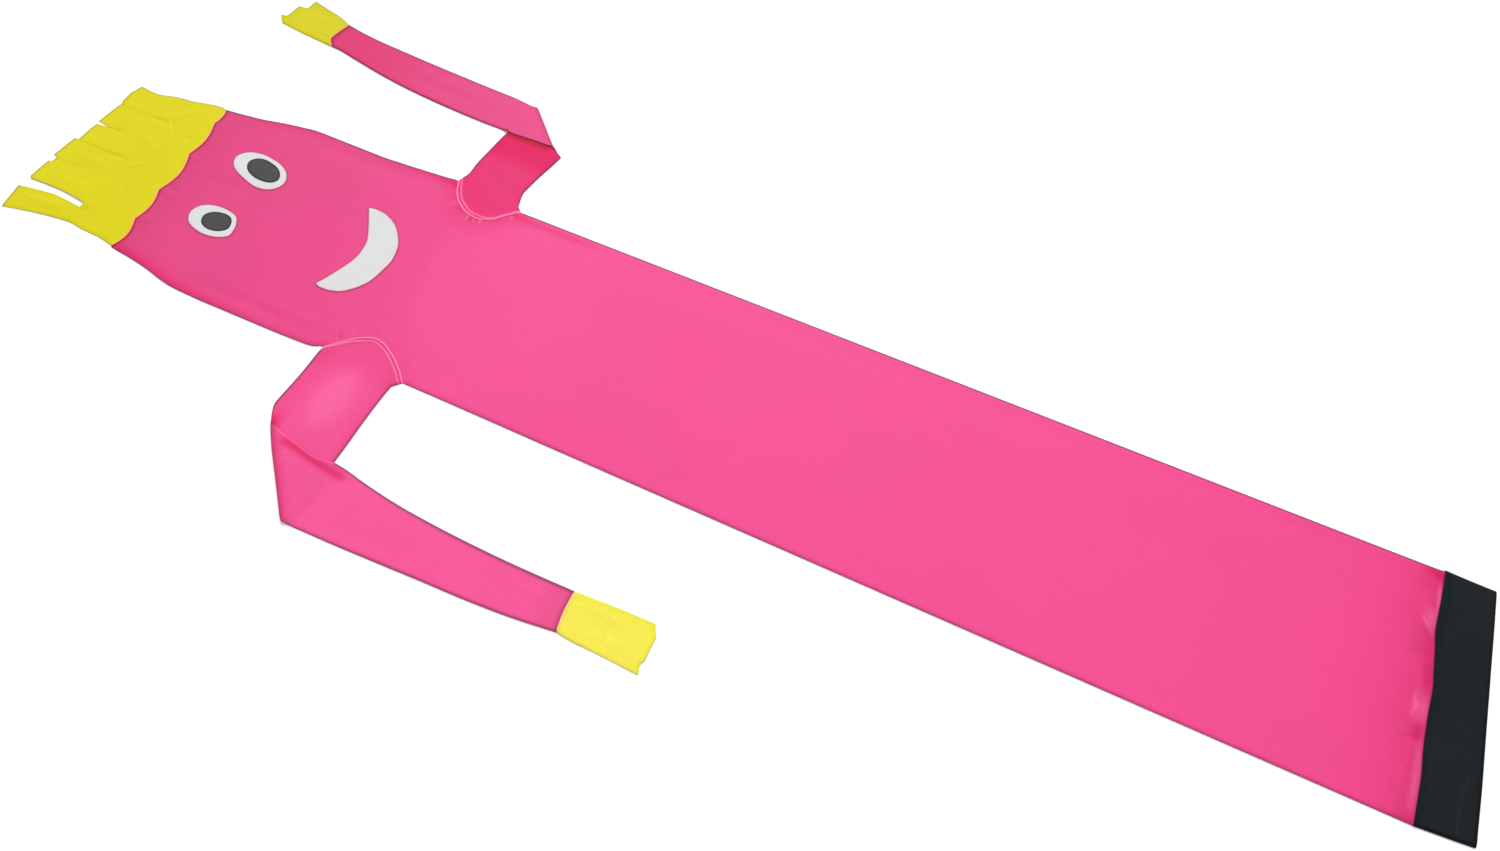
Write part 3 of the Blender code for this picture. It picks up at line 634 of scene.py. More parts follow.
def painted_falloff(x, y):
    """How strongly painted shade darkens the cloth where less light falls: on the head, on the raised arm,
    and on the lowered arm by its wrist and its elbow.
    """
    past = y - look_up(CHEST_STEP, x)
    head = 0.26 * ease((past + 0.015) / 0.050) + look_up(HEAD_FALLOFF, y)
    raised = look_up(RAISED_FALLOFF, y) * np.where(x < FOREARM_START, 0.15, 1.0)
    lowered = 0.45 * ease((1.590 - y) / 0.045) + 0.35 * bump_at(x, y, -0.510, 2.110, 0.070, 0.070)
    lowered = lowered + head * ease((x + 0.330) / 0.070)
    return np.where(x > SIDE, raised, np.where(x < -SIDE, lowered, head))


def shell(name, outer, inner, faces, cloth_x, cloth_y, painted):
    """A closed wall of cloth between two skins of points, with rims wherever its faces end."""
    count = len(outer)
    heads = np.concatenate([np.ravel(f) for f in faces])
    tails = np.concatenate([np.ravel(np.roll(f, -1, axis=1)) for f in faces])
    rim = ~np.isin(heads * count + tails, tails * count + heads)
    rims = np.stack([tails[rim], heads[rim], heads[rim] + count, tails[rim] + count], axis=-1)
    every = [f.tolist() for f in faces] + [(f[:, ::-1] + count).tolist() for f in faces] + [rims.tolist()]
    corners = [corner for group in every for corner in group]
    mesh = bpy.data.meshes.new(name)
    mesh.from_pydata(np.vstack([outer, inner]).tolist(), [], corners)
    loops = np.empty(len(mesh.loops), dtype=np.int32)
    mesh.loops.foreach_get("vertex_index", loops)
    both = np.stack([np.tile(np.ravel(cloth_x), 2), np.tile(np.ravel(cloth_y), 2)], axis=-1)[loops]
    mesh.uv_layers.new(name="cloth").data.foreach_set("uv", both.astype(np.float32).ravel())
    # every piece takes the painted shade that grows where less light falls
    for key, values in {"dull": painted_falloff(outer[:, 0], outer[:, 1]), **painted}.items():
        set_attribute(mesh, key, np.tile(np.clip(np.ravel(values), 0, 1), 2))
    edit_mesh(mesh, lambda shaped: bmesh.ops.delete(
        shaped, geom=[v for v in shaped.verts if not v.link_faces], context="VERTS"))
    return add_object(name, mesh)


def at(rows, shares, wanted):
    """Points between columns, at other shares across."""
    k = np.clip(np.searchsorted(shares, wanted) - 1, 0, len(shares) - 2)
    w = ((wanted - shares[k]) / (shares[k + 1] - shares[k]))[:, None]
    return rows[:, k] * (1 - w) + rows[:, k + 1] * w


def pressed_in(tops, top_shares, lows, low_shares, wanted, width, wall):
    """The inner skin's front and underside at the wanted shares."""
    near_first, near_last = (np.clip(1 - share / SQUEEZE_SHARE, 0, 1) for share in (wanted, 1 - wanted))
    squeezed = wanted + wall / width * (near_first - near_last)
    front, under = at(tops, top_shares, squeezed), at(lows, low_shares, squeezed)
    middle, half = (front + under) / 2, (front - under) / 2
    size = np.linalg.norm(half, axis=-1, keepdims=True)
    half = half * np.maximum(size - wall, THINNEST * size) / np.maximum(size, 1e-9)
    return middle + half, middle - half


def ring(tops, lows):
    """One row of points all the way round, from the front's and the underside's."""
    return np.concatenate([tops, lows[:, 1:-1][:, ::-1]], axis=1)


def quads(index, following):
    """Faces between rows of points. following numbers each point's neighbour in its row."""
    return np.stack([index[:-1], following[:-1], following[1:], index[1:]], axis=-1)


def sleeve(name, tops, top_shares, lows, low_shares, width, cloth_x, cloth_y, wall=WALL, gaps=False,
           **painted):
    """A flattened sleeve of cloth, open at both ends. gaps marks the faces to leave out."""
    outer = ring(tops, lows)
    inner = ring(pressed_in(tops, top_shares, lows, low_shares, top_shares, width, wall)[0],
                 pressed_in(tops, top_shares, lows, low_shares, low_shares, width, wall)[1])
    rows, around = outer.shape[:2]
    index = np.arange(rows * around).reshape(rows, around)
    outer, inner = outer.reshape(-1, 3), inner.reshape(-1, 3)
    faces = quads(index, np.roll(index, -1, axis=1))
    a, b, c = (outer[faces[0, len(top_shares) // 2, k]] for k in (0, 1, 3))
    if np.cross(b - a, c - a)[2] < 0:  # the front has to look up
        faces = faces[..., ::-1]
    kept = ~np.broadcast_to(gaps, faces.shape[:2])
    cloth_x, cloth_y = (np.broadcast_to(v, (rows, around)) for v in (cloth_x, cloth_y))
    painted = {key: np.broadcast_to(values, (rows, around)) for key, values in painted.items()}
    return shell(name, outer, inner, [faces[kept]], cloth_x, cloth_y, painted)


def triangles(obj):
    return sum(len(p.vertices) - 2 for p in obj.data.polygons)


print("sleeve builder is ready")

# %% [markdown]
# ## The body
#
# One sleeve 2.73 m long makes the body and the head. Its rows of points start on the collar's seam,
# straighten out along the tube, and take on the scallops of the hair's seam at the other end. Rows
# are close together where there is something to show, at the collar, the shoulders and the hair, and
# far apart on the plain tube. An armhole is then cut in each side with a Boolean, as scissors would.

# %% Body heights
BODY_SIDE = 0.0026
BODY_MIDDLE = 0.0038
FLAT_SHARE = 0.6
BODY_WIDTH = 0.48
SWELL_FADE = 0.016  # creases fade out this near to a side fold


def crown(folds, x, y, side, middle):
    """A wide sleeve's height: level in the middle, lower towards its folds."""
    right, left = folds(y)
    out = np.abs(x - (left + right) / 2) / ((left - right) / 2)
    return middle + (side - middle) * ease((out - FLAT_SHARE) / (1 - FLAT_SHARE))


def body_front(x, y):
    """The height of the body's front."""
    near_fold = to_fold(body_folds, x, y)
    loose = relief(BODY_CREASES, x, y) + swell(x, y, 0.0003, 3)
    loose = loose * ease(near_fold / SWELL_FADE) * ease((hair_seam(x) - y) / 0.012 + 0.25)
    full = crown(body_folds, x, y, BODY_SIDE, BODY_MIDDLE) + loose
    return rolled(full, near_fold, FRONT_ROLL * (1 + 0.7 * ease((y - 1.7) / 0.3)))


def wide_rows(folds, shares, base, seams):
    """X and Y of rows of points across a wide sleeve. seams pairs each seam's rule with its mean Y."""
    all_x, all_y = [], []
    for y in base:
        def level(x):
            return y + sum(max(0.0, 1 - abs(y - mean) / SEAM_FADE) * (rule(x) - mean) for rule, mean in seams)
        right, left = folds(y)
        right, left = folds(level(right))[0], folds(level(left))[1]
        x = right + (left - right) * shares
        all_x.append(x)
        all_y.append(level(x))
    return np.array(all_x), np.array(all_y)


def underside(folds, x, y):
    """The height of the side that lies on the floor."""
    return FOLD_HEIGHT * (1 - roll(to_fold(folds, x, y), UNDER_ROLL))


def places(x, y, z):
    """Points from their three coordinates."""
    return np.stack([x, y, z], axis=-1)


body_base = np.concatenate([
    np.linspace(COLLAR_SEAM, 0.150, 22),
    np.linspace(0.156, 0.200, 6),
    np.arange(0.220, 1.900, 0.0240),
    np.linspace(1.910, 2.030, 13),
    np.linspace(2.036, 2.250, 82),
    np.linspace(2.257, 2.745, 60),
    np.linspace(2.750, HAIR_SEAM, 27),
])
body_shares = columns(BODY_WIDTH, 0.0050)
under_shares = np.concatenate([[0.0, 0.0008, 0.003, 0.0065], np.linspace(0.02, 0.98, 21),
                               [0.9935, 0.997, 0.9992, 1.0]])
body_seams = ((collar_seam, COLLAR_SEAM), (hair_seam, HAIR_SEAM))
x, y = wide_rows(body_folds, body_shares, body_base, body_seams)
body_tops = places(x, y, body_front(x, y))
x, y = wide_rows(body_folds, under_shares, body_base, body_seams)
body_lows = places(x, y, underside(body_folds, x, y))
body_ring = ring(body_tops, body_lows)
body_cloth = sleeve("body_cloth", body_tops, body_shares, body_lows, under_shares, BODY_WIDTH,
                    body_ring[..., 0], body_ring[..., 1])
print("body before its armholes:", triangles(body_cloth), "triangles")

# %% Armholes
LEFT_ARMHOLE = (
    (0.254, 2.2385), (0.23, 2.227), (0.209, 2.2125), (0.1945, 2.1955), (0.183, 2.177), (0.177, 2.158),
    (0.176, 2.139), (0.1812, 2.1215), (0.193, 2.1025), (0.209, 2.0895), (0.2225, 2.0745),
    (0.2345, 2.064),
)
RIGHT_ARMHOLE = (
    (-0.2415, 2.243), (-0.225, 2.224), (-0.208, 2.208), (-0.192, 2.188), (-0.1825, 2.169),
    (-0.179, 2.15), (-0.184, 2.129), (-0.1955, 2.106), (-0.211, 2.083), (-0.226, 2.065),
    (-0.243, 2.047),
)
GAP = 0.0003  # between the body and an arm
CUTTER_REACH = (0.05, 0.004)  # of the cutter past the armhole's ends, outwards and along the body
CUTTER_LEVELS = (-0.02, 0.03)


def sideways(curve, distance):
    """A polyline moved to its left by a distance."""
    way = np.gradient(curve, axis=0)
    way /= np.linalg.norm(way, axis=1)[:, None]
    return curve + distance * np.stack([-way[:, 1], way[:, 0]], axis=-1)


def outward(armhole):
    """1 for the armhole on the left and -1 for the one on the right."""
    return 1 if armhole[0][0] > 0 else -1


def cut_armhole(obj, name, armhole):
    """Cut an armhole through both layers."""
    way = outward(armhole)
    arc = sideways(spread(smooth(armhole), 40), -way * GAP)
    reach, along = CUTTER_REACH
    outline = [arc[0] + (way * reach, along), *arc, arc[-1] + (way * reach, -along)]
    count = len(outline)
    corners = [(x, y, z) for z in CUTTER_LEVELS for x, y in outline]
    ends = [tuple(range(count)), tuple(range(count, 2 * count))]
    sides = [(i, (i + 1) % count, count + (i + 1) % count, count + i) for i in range(count)]
    mesh = bpy.data.meshes.new(name)
    mesh.from_pydata(corners, [], [*ends, *sides])
    edit_mesh(mesh, lambda shaped: bmesh.ops.recalc_face_normals(shaped, faces=shaped.faces))
    cutter = add_object(name, mesh)
    cut = obj.modifiers.new(name, "BOOLEAN")
    cut.operation = "DIFFERENCE"
    cut.solver = "MANIFOLD"
    cut.object = cutter
    plain_mesh(obj)
    bpy.data.objects.remove(cutter)


cut_armhole(body_cloth, "left_cutter", LEFT_ARMHOLE)
cut_armhole(body_cloth, "right_cutter", RIGHT_ARMHOLE)
print("body with armholes:", triangles(body_cloth), "triangles")

# %% [markdown]
# Painted shade deepens the pink beside the side folds, by the armholes and towards the collar, and
# darkens it on the head and where it goes into a seam; painted highlights lighten the tucks, the
# pillows by the collar and two wrinkles. The cut above made new vertices, so the attributes are
# worked out afterwards, from where each vertex lies.

# %% Body colouring
# Painted shade beside each side fold, and in the crack at the hair's seam: a place, and how strong it is
# there.
RIGHT_EDGE_SHADE = ((2.1, 0.05), (2.2, 0.3), (2.3, 0.12), (2.4, 0.14), (2.5, 0.36), (2.65, 0.52), (2.74, 0.6))
LEFT_EDGE_SHADE = ((1.84, 0.05), (1.92, 0.44), (2.04, 0.42), (2.12, 0.2), (2.2, 0.34), (2.26, 0.58), (2.34, 0.62),
            (2.42, 0.25), (2.55, 0.2), (2.62, 0.6), (2.72, 0.65), (2.79, 0.2))
HAIR_CRACK_SHADE = ((-0.2, 0.9), (-0.09, 0.8), (-0.05, 0.2), (0.06, 0.2), (0.09, 0.8), (0.13, 0.6), (0.15, 0.2))
# Soft ovals: the middle's X and Y, half their width each way, and their strength.
# Painted shade in soft ovals by the collar.
SHADE_OVALS = (
    (-0.090, 0.108, 0.022, 0.010, 0.26), (0.024, 0.104, 0.040, 0.012, 0.26),
    (0.230, 0.106, 0.020, 0.030, 0.40), (-0.238, 0.112, 0.012, 0.024, 0.10),
    (0.072, 0.106, 0.024, 0.010, 0.16),
)
# Painted highlights on the pillows by the collar, and a faint broad one on the chest.
HIGHLIGHT_OVALS = (
    (-0.150, 0.103, 0.060, 0.009, 0.18), (-0.042, 0.108, 0.034, 0.018, 0.20),
    (0.130, 0.109, 0.027, 0.014, 0.26), (0.170, 0.098, 0.040, 0.005, 0.30),
    (-0.200, 0.107, 0.030, 0.010, 0.12), (0.0, 1.940, 0.300, 0.260, 0.035),
)
# Painted highlights along two small wrinkles by the collar.
HIGHLIGHT_LINES = (
    ((0.103, 0.102), (0.112, 0.115), (0.130, 0.1215)),
    ((-0.062, 0.125), (-0.045, 0.117), (-0.018, 0.121)),
)
# A tuck is painted lighter on its ridge and darker in its trough: painted highlight and painted shade.
TUCK_HEIGHT = 0.001  # of a tuck that takes all of its paint
TUCK_LIGHT_AND_SHADE = 0.25
FOLD_SHADE_WIDTH = 0.0042


def distance_to(curve, x, y):
    """The distance from points to a polyline."""
    curve = np.array(curve)
    best = np.full(np.shape(x), np.inf)
    for a, b in zip(curve, curve[1:]):
        way = b - a
        t = np.clip(((x - a[0]) * way[0] + (y - a[1]) * way[1]) / (way @ way), 0, 1)
        best = np.minimum(best, np.hypot(x - a[0] - t * way[0], y - a[1] - t * way[1]))
    return best


def with_ovals(paint, ovals, x, y):
    """Paint with soft ovals added."""
    return sum((strength * bump_at(x, y, *oval) for *oval, strength in ovals), paint)


def with_lines(paint, lines, strength, width, x, y):
    """Paint with soft lines added."""
    return sum((strength * bell(distance_to(line, x, y), width) for line in lines), paint)


def fold_shade_line(distance, strength, width=FOLD_SHADE_WIDTH):
    """A dark line of painted shade along a pressed fold."""
    return strength * bell(np.maximum(distance, 0), width, 4)


flat = np.empty(3 * len(body_cloth.data.vertices), dtype=np.float32)
body_cloth.data.vertices.foreach_get("co", flat)
x, y, _ = flat.reshape(-1, 3).astype(float).T
near_fold = to_fold(body_folds, x, y)
to_arms = np.minimum(*(distance_to(spread(smooth(a), 24), x, y) for a in (LEFT_ARMHOLE, RIGHT_ARMHOLE)))
to_hair = hair_seam(x) - y
to_collar = np.maximum(y - collar_seam(x), 0)
head = ease((y - 2.16) / 0.20)
on_right = x < 0


def by_side(right, left):
    """One value on the dancer's right half and another on its left."""
    return np.where(on_right, right, left)


# Painted shade: deeper pink in a band beside each side fold, towards the collar, in soft ovals by it, and by
# the armholes.
from_band = near_fold - by_side(0.0, 0.016 * (1 - head))
band = by_side(0.007 + 0.014 * head, 0.009 + 0.005 * head)
deep = by_side(look_up(RIGHT_EDGE_SHADE, y), look_up(LEFT_EDGE_SHADE, y)) * bell(from_band, band)
deep += 0.08 * ease((0.70 - y) / 0.30) + 0.44 * decay(to_collar, 0.075)
deep = with_ovals(deep, SHADE_OVALS, x, y)
deep += by_side(0.05, 0.18) * decay(to_arms, 0.010)
deep += by_side(0.0, 0.28) * ease(1 - to_arms / 0.065)
# Painted shade in the tucks' troughs and by the hair's and the collar's seams, and painted highlights on the
# tucks' ridges, the pillows and two wrinkles.
tucks = relief(ARMHOLE_TUCKS, x, y) / TUCK_HEIGHT
shade = 0.98 * bell(to_hair, 0.0052) + 0.14 * decay(to_hair, 0.020)
shade += 0.30 * decay(to_collar, 0.045) + 0.12 * decay(to_collar, 0.003) + TUCK_LIGHT_AND_SHADE * np.clip(-tucks, 0, 1)
pale = with_ovals(TUCK_LIGHT_AND_SHADE * np.clip(tucks, 0, 1), HIGHLIGHT_OVALS, x, y)
# Painted shade that grows where less light falls, brown-red painted shade in the crack under the hair, and a
# dark line of painted shade along each side fold.
painted = {
    "deep": deep,
    "shade": shade,
    "pale": with_lines(pale, HIGHLIGHT_LINES, 0.20, 0.0018, x, y),
    "dull": painted_falloff(np.clip(x, -SIDE, SIDE), y),
    "warm": look_up(HAIR_CRACK_SHADE, x) * bell(to_hair, 0.0034),
    "fold": ease(to_arms / 0.01) * fold_shade_line(near_fold, by_side(0.38 + 0.10 * head, 0.97),
                                             by_side(0.0034, 0.0046 + 0.0015 * head)),
}
for key, values in painted.items():
    set_attribute(body_cloth.data, key, np.clip(values, 0, 1))
finish_cloth(body_cloth, pink_cloth)
print("body painted:", ", ".join(painted))

# %% [markdown]
# ## The collar
#
# A band of heavier black cloth is strapped round the blower's ring. It lies over the end of the body,
# with a felled seam that stands up as a flat band beside the join, and its mouth is hemmed. The
# mouth stays a little open, because the cloth is stiff.

# %% Collar
COLLAR_SIDE = 0.0034
COLLAR_MIDDLE = 0.0048
COLLAR_WIDTH = 0.475
COLLAR_WALL = 0.0007
LAP = 0.0014  # how far a sewn edge lies over its neighbour
LAP_FADE = 0.010  # the lap narrows to nothing over this width beside a side fold
LIFT = 0.0005  # how high that edge is over it, to the top of the cloth
COLLAR_LIFT = 0.0009
ON_FOLD = 0.0005  # nearer to a side fold than this, cloth doesn't climb on to its neighbour
MOUTH = ((-0.24, 0.0008), (-0.18, 0.001), (0.0, 0.002), (0.18, 0.0026), (0.24, 0.0028))
SEAM_BAND = 0.0095
SEAM_BAND_HEIGHT = 0.0007
HEM = 0.014
HEM_HEIGHT = 0.0003
STEP_WIDTH = 0.0012  # over which the cloth steps up on to the band and the hem
COLLAR_CREASES = rows_of(
    Crease,
    (-0.212, 0.03, -0.138, 0.026, 0.002, 0.0011, 0.003),
    (-0.205, 0.024, -0.14, 0.021, 0.002, -0.0008, 0.0035),
    (0.02, 0.032, 0.09, 0.028, -0.001, 0.0006, 0.004),
    (0.11, 0.05, 0.2, 0.056, 0.003, 0.0005, 0.006),
    (-0.11, 0.058, -0.02, 0.052, 0.003, -0.0005, 0.007),
    (0.15, 0.02, 0.16, 0.08, 0.0, -0.0005, 0.008),
    (-0.06, 0.015, -0.05, 0.078, 0.002, 0.0005, 0.008),
)
# Painted highlights along two wrinkles of the collar.
COLLAR_HIGHLIGHTS = (
    ((-0.225, 0.0325), (-0.185, 0.0315), (-0.14, 0.027)),
    ((-0.175, 0.0275), (-0.148, 0.025), (-0.122, 0.0225)),
)


def laid_over(own, under, share):
    """A height of its own that climbs, by a share, on to what lies under it."""
    return own + (np.maximum(under, own) - own) * share


def collar_front(x, y):
    """The height of the collar's front."""
    near_fold = to_fold(collar_folds, x, y)
    from_seam = collar_seam(x) - y
    full = crown(collar_folds, x, y, COLLAR_SIDE, COLLAR_MIDDLE)
    full = full + relief(COLLAR_CREASES, x, y) + swell(x, y, 0.0006, 11)
    full = full + SEAM_BAND_HEIGHT * ease((SEAM_BAND - from_seam) / STEP_WIDTH + 0.5)
    full = full + HEM_HEIGHT * ease((HEM - y) / STEP_WIDTH + 0.5)
    own = rolled(full, near_fold)
    under = body_front(x, np.maximum(y, collar_seam(x))) + COLLAR_LIFT
    return np.where(near_fold < ON_FOLD, own, laid_over(own, under, ease(1.4 - from_seam / 0.004)))


collar_shares = columns(COLLAR_WIDTH, 0.0050)
collar_down = [-LAP, -0.0008, 0.0, 0.0012, 0.0030, 0.0060, 0.0082, 0.0092, 0.0102, 0.0115,
               *np.linspace(0.0150, 0.0750, 16),
               0.0790, 0.0820, 0.0832, 0.0845, 0.0865, 0.0900, 0.0945, COLLAR_SEAM]


def collar_rows(shares, lapped):
    """Rows from the mouth to the seam, which straighten towards the mouth."""
    all_x, all_y = [], []
    for down in collar_down[::-1]:
        right, left = collar_folds(max(COLLAR_SEAM - down, 0.0))
        x = right + (left - right) * shares
        if down < 0:
            near = np.minimum(x - right, left - x)
            snug = SNUG * down / LAP
            down = np.minimum(down * ease(near / LAP_FADE), snug) if lapped else snug
        wave = 1 - np.clip(down, 0, COLLAR_SEAM) / COLLAR_SEAM
        y = COLLAR_SEAM - down + wave * (collar_seam(x) - COLLAR_SEAM)
        mouth = look_up(MOUTH, x) + 0.00005 * (COLLAR_SEAM - down)  # rows at the mouth stay in order
        all_x.append(x)
        all_y.append(np.maximum(y, mouth))
    return np.array(all_x), np.array(all_y)


x, y = collar_rows(collar_shares, True)
collar_tops = places(x, y, collar_front(x, y))
x, y = collar_rows(under_shares, False)
collar_lows = places(x, y, underside(collar_folds, x, y))
x, y, _ = np.moveaxis(ring(collar_tops, collar_lows), -1, 0)
near_fold = to_fold(collar_folds, x, y)
from_seam = collar_seam(x) - y
deep_shade_edge = SEAM_BAND + 0.003 + 0.006 * ease((x - 0.05) / 0.12)
collar_cloth = sleeve(
    "collar_cloth", collar_tops, collar_shares, collar_lows, under_shares, COLLAR_WIDTH, x, y, COLLAR_WALL,
    # Painted shade deepens a band along the seam and darkens the lap by it, painted highlights run along two
    # wrinkles, and a dark line of painted shade runs along the side folds and the mouth.
    deep=(0.55 + 0.45 * ease(x / 0.16)) * ease((deep_shade_edge - from_seam) / 0.004),
    shade=0.8 * decay(np.maximum(from_seam, 0), 0.0030),
    pale=with_lines(0.0, COLLAR_HIGHLIGHTS, 0.55, 0.0014, x, y),
    fold=np.maximum(fold_shade_line(near_fold, 1.0, 0.0055), bell(y - 0.002, 0.0042, 4)),
)
finish_cloth(collar_cloth, black_cloth)
collar_height = float(collar_tops[..., 2].max())
print("collar:", triangles(collar_cloth), "triangles, front up to", round(collar_height, 4))

# %% [markdown]
# ## The hair
#
# The hair is a short yellow sleeve whose free end is snipped into six strips. The snips go through
# both layers. Its columns of points run along the snips, so leaving out the faces between two columns
# makes a clean cut, where a Boolean would leave slivers. Each strip lies at its own height, which
# makes the closed snips show as fine steps.

# %% Hair
HAIR_SIDE = 0.0024
HAIR_MIDDLE = 0.0034
HAIR_TIP = 0.0013  # the strips sink to this height at their tips
HAIR_LENGTH = 0.27  # about, from its seam to its tips
HAIR_WIDTH = 0.43
# A strip has the corners of its tip, the cut on its left side as rows of a Y and the X of the cut's
# right and left side, and its own height and tilt.
Strip = namedtuple("Strip", "tips cut height tilt")
STRIPS = rows_of(
    Strip,
    (((-0.242, 3.0988), (-0.21, 3.1038), (-0.1795, 3.109)),
     ((2.944, -0.1705, -0.1565), (2.96, -0.169, -0.154), (2.99, -0.167, -0.151),
      (3.02, -0.166, -0.1495), (3.06, -0.1715, -0.15)), 0.0005, 0.0004),
    (((-0.1525, 3.101), (-0.147, 3.106), (-0.095, 3.1045), (-0.0938, 3.096), (-0.0823, 3.095)),
     ((3.04, -0.08231, -0.08229),), 0.0006, -0.0005),
    (((-0.0822, 3.095), (-0.0785, 3.096), (-0.0772, 3.107), (-0.025, 3.101), (-0.0165, 3.0985)),
     ((2.96, -0.01651, -0.01649),), 0.0003, 0.0005),
    (((-0.0164, 3.0888), (0.01, 3.0898), (0.0385, 3.0872)),
     ((3.038, 0.04299, 0.04301), (3.051, 0.0426, 0.0434)), 0.0007, -0.0004),
    (((0.0475, 3.0897), (0.082, 3.0853), (0.105, 3.082), (0.1124, 3.0788)),
     ((2.955, 0.11249, 0.11251),), 0.0003, 0.0005),
    (((0.1126, 3.0788), (0.12, 3.0842), (0.157, 3.0848), (0.1583, 3.0815), (0.1762, 3.0778)),
     (), 0.0006, 0.0),
)
HAIR_CREASES = rows_of(
    Crease,
    (0.126, 2.948, 0.094, 2.921, 0.0, 0.0012, 0.004),
    (0.12, 2.938, 0.098, 2.915, 0.0, -0.001, 0.004),
    (0.098, 2.872, 0.084, 2.866, 0.0, -0.0012, 0.005),
    (0.08, 2.874, 0.072, 2.86, 0.0, 0.0008, 0.004),
    (0.112, 2.94, 0.108, 2.985, 0.0, -0.0008, 0.005),
    (-0.018, 2.95, -0.022, 3.0, 0.0, -0.0008, 0.006),
    (-0.012, 2.905, -0.034, 2.928, 0.0, 0.0009, 0.006),
    (0.044, 3.045, 0.04, 3.015, 0.0, -0.001, 0.005),
    (-0.08, 3.04, -0.078, 3.0, 0.0, -0.0008, 0.006),
    (0.18, 2.9, 0.12, 2.96, 0.004, 0.0008, 0.009),
    (0.06, 2.99, 0.02, 2.9, 0.006, 0.0009, 0.012),
    (-0.05, 3.05, -0.06, 2.96, 0.0, 0.0009, 0.011),
    (-0.12, 3.06, -0.13, 2.96, 0.0, 0.0008, 0.011),
    (-0.2, 3.08, -0.192, 2.96, 0.004, 0.0012, 0.011),
    (-0.15, 2.935, -0.17, 2.93, 0.0, 0.0009, 0.005),
    (-0.1, 2.85, -0.06, 2.93, 0.004, -0.0007, 0.01),
)


def cut_sides(right_strip, left_strip):
    """X of a cut's two sides at any Y."""
    end = (right_strip.tips[-1][1], right_strip.tips[-1][0], left_strip.tips[0][0])
    levels, rights, lefts = zip(*right_strip.cut, end)
    return (lambda y: np.interp(y, levels, rights)), (lambda y: np.interp(y, levels, lefts))


CUTS = [cut_sides(a, b) for a, b in zip(STRIPS, STRIPS[1:])]
hair_run = np.concatenate([
    np.array([-LAP, -0.0007, 0.0003, 0.0014, 0.0028, 0.0045, 0.0070, 0.0100]) / HAIR_LENGTH,
    np.linspace(0.050, 0.985, 62), [0.993, 1.0],
])


def strip_shares(k):
    """Shares across a strip, closer together at its two ends and on the corners of its tip."""
    at_cut = np.array([0.0, 0.010, 0.035, 0.08])
    at_fold = np.array(FOLD_STEPS)
    first, last, middle = at_cut[:-1], 1 - at_cut[::-1][1:], np.linspace(0.08, 0.92, 11)
    if k == 0:
        first, middle = at_fold / 0.055, np.linspace(0.24, 0.92, 9)
    if k == len(STRIPS) - 1:
        middle, last = np.linspace(0.08, 0.80, 10), 1 - at_fold[::-1] / 0.065
    shares = np.concatenate([first, middle, last])
    tips = np.array([x for x, _ in STRIPS[k].tips])
    corners = (tips[1:-1] - tips[0]) / (tips[-1] - tips[0])
    apart = np.min(np.abs(shares[:, None] - corners[None, :]), axis=1) > 0.03
    apart[[0, -1]] = True
    return np.sort(np.concatenate([shares[apart], corners]))


share_of = np.concatenate([strip_shares(k) for k in range(len(STRIPS))])
strip_of = np.concatenate([np.full(len(strip_shares(k)), k) for k in range(len(STRIPS))])


def hair_rows(lapped):
    """X and Y of the hair's points. The cuts wander, so each row is settled in three rounds."""
    all_x, all_y = [], []
    y = np.full(len(strip_of), 2.83)
    for t in hair_run:
        for _ in range(3):
            right, left = hair_folds(y)
            low = np.choose(strip_of, [right] + [cut[1](y) for cut in CUTS])
            high = np.choose(strip_of, [cut[0](y) for cut in CUTS] + [left])
            x = low + (high - low) * share_of
            y = hair_seam(x)
            if t < 0:
                snug = SNUG * t * HAIR_LENGTH / LAP
                lap = t * HAIR_LENGTH * ease(np.minimum(x - right, left - x) / LAP_FADE)
                y = y + (np.minimum(lap, snug) if lapped else snug)
            else:
                tip = np.choose(strip_of, [look_up(s.tips, x) for s in STRIPS])
                y = y + t * (tip - y)
        all_x.append(x)
        all_y.append(y)
    return np.array(all_x), np.array(all_y)


def strip_height(x, y, strip_of):
    """Each strip's own height and tilt, growing from its cuts to its tips."""
    total = np.zeros(x.shape)
    grow = ease((y - 2.93) / 0.14)
    for k, s in enumerate(STRIPS):
        middle = (s.tips[0][0] + s.tips[-1][0]) / 2
        total += (strip_of == k) * grow * (s.height + s.tilt * (x - middle) / 0.030)
    return total


def hair_front(x, y, strip_of):
    """The height of the hair's front."""
    near_fold = to_fold(hair_folds, x, y)
    full = crown(hair_folds, x, y, HAIR_SIDE, HAIR_MIDDLE)
    full = full + (HAIR_TIP - full) * ease((y - 2.90) / 0.19)
    full = full + relief(HAIR_CREASES, x, y) + swell(x, y, 0.0007, 5) + strip_height(x, y, strip_of)
    own = rolled(full, near_fold)
    from_seam = y - hair_seam(x)
    under = body_front(x, np.minimum(y, hair_seam(x))) + LIFT + 0.0004 * ease(from_seam / 0.0015 + 1)
    return np.where(near_fold < ON_FOLD, own, laid_over(own, under, ease(1.3 - from_seam / 0.008)))


x, hair_y = hair_rows(True)
hair_shares = (x[0] - x[0, 0]) / (x[0, -1] - x[0, 0])
hair_tops = places(x, hair_y, hair_front(x, hair_y, strip_of))
x, y = hair_rows(False)
hair_lows = places(x, y, underside(hair_folds, x, y))
x, y, _ = np.moveaxis(ring(hair_tops, hair_lows), -1, 0)

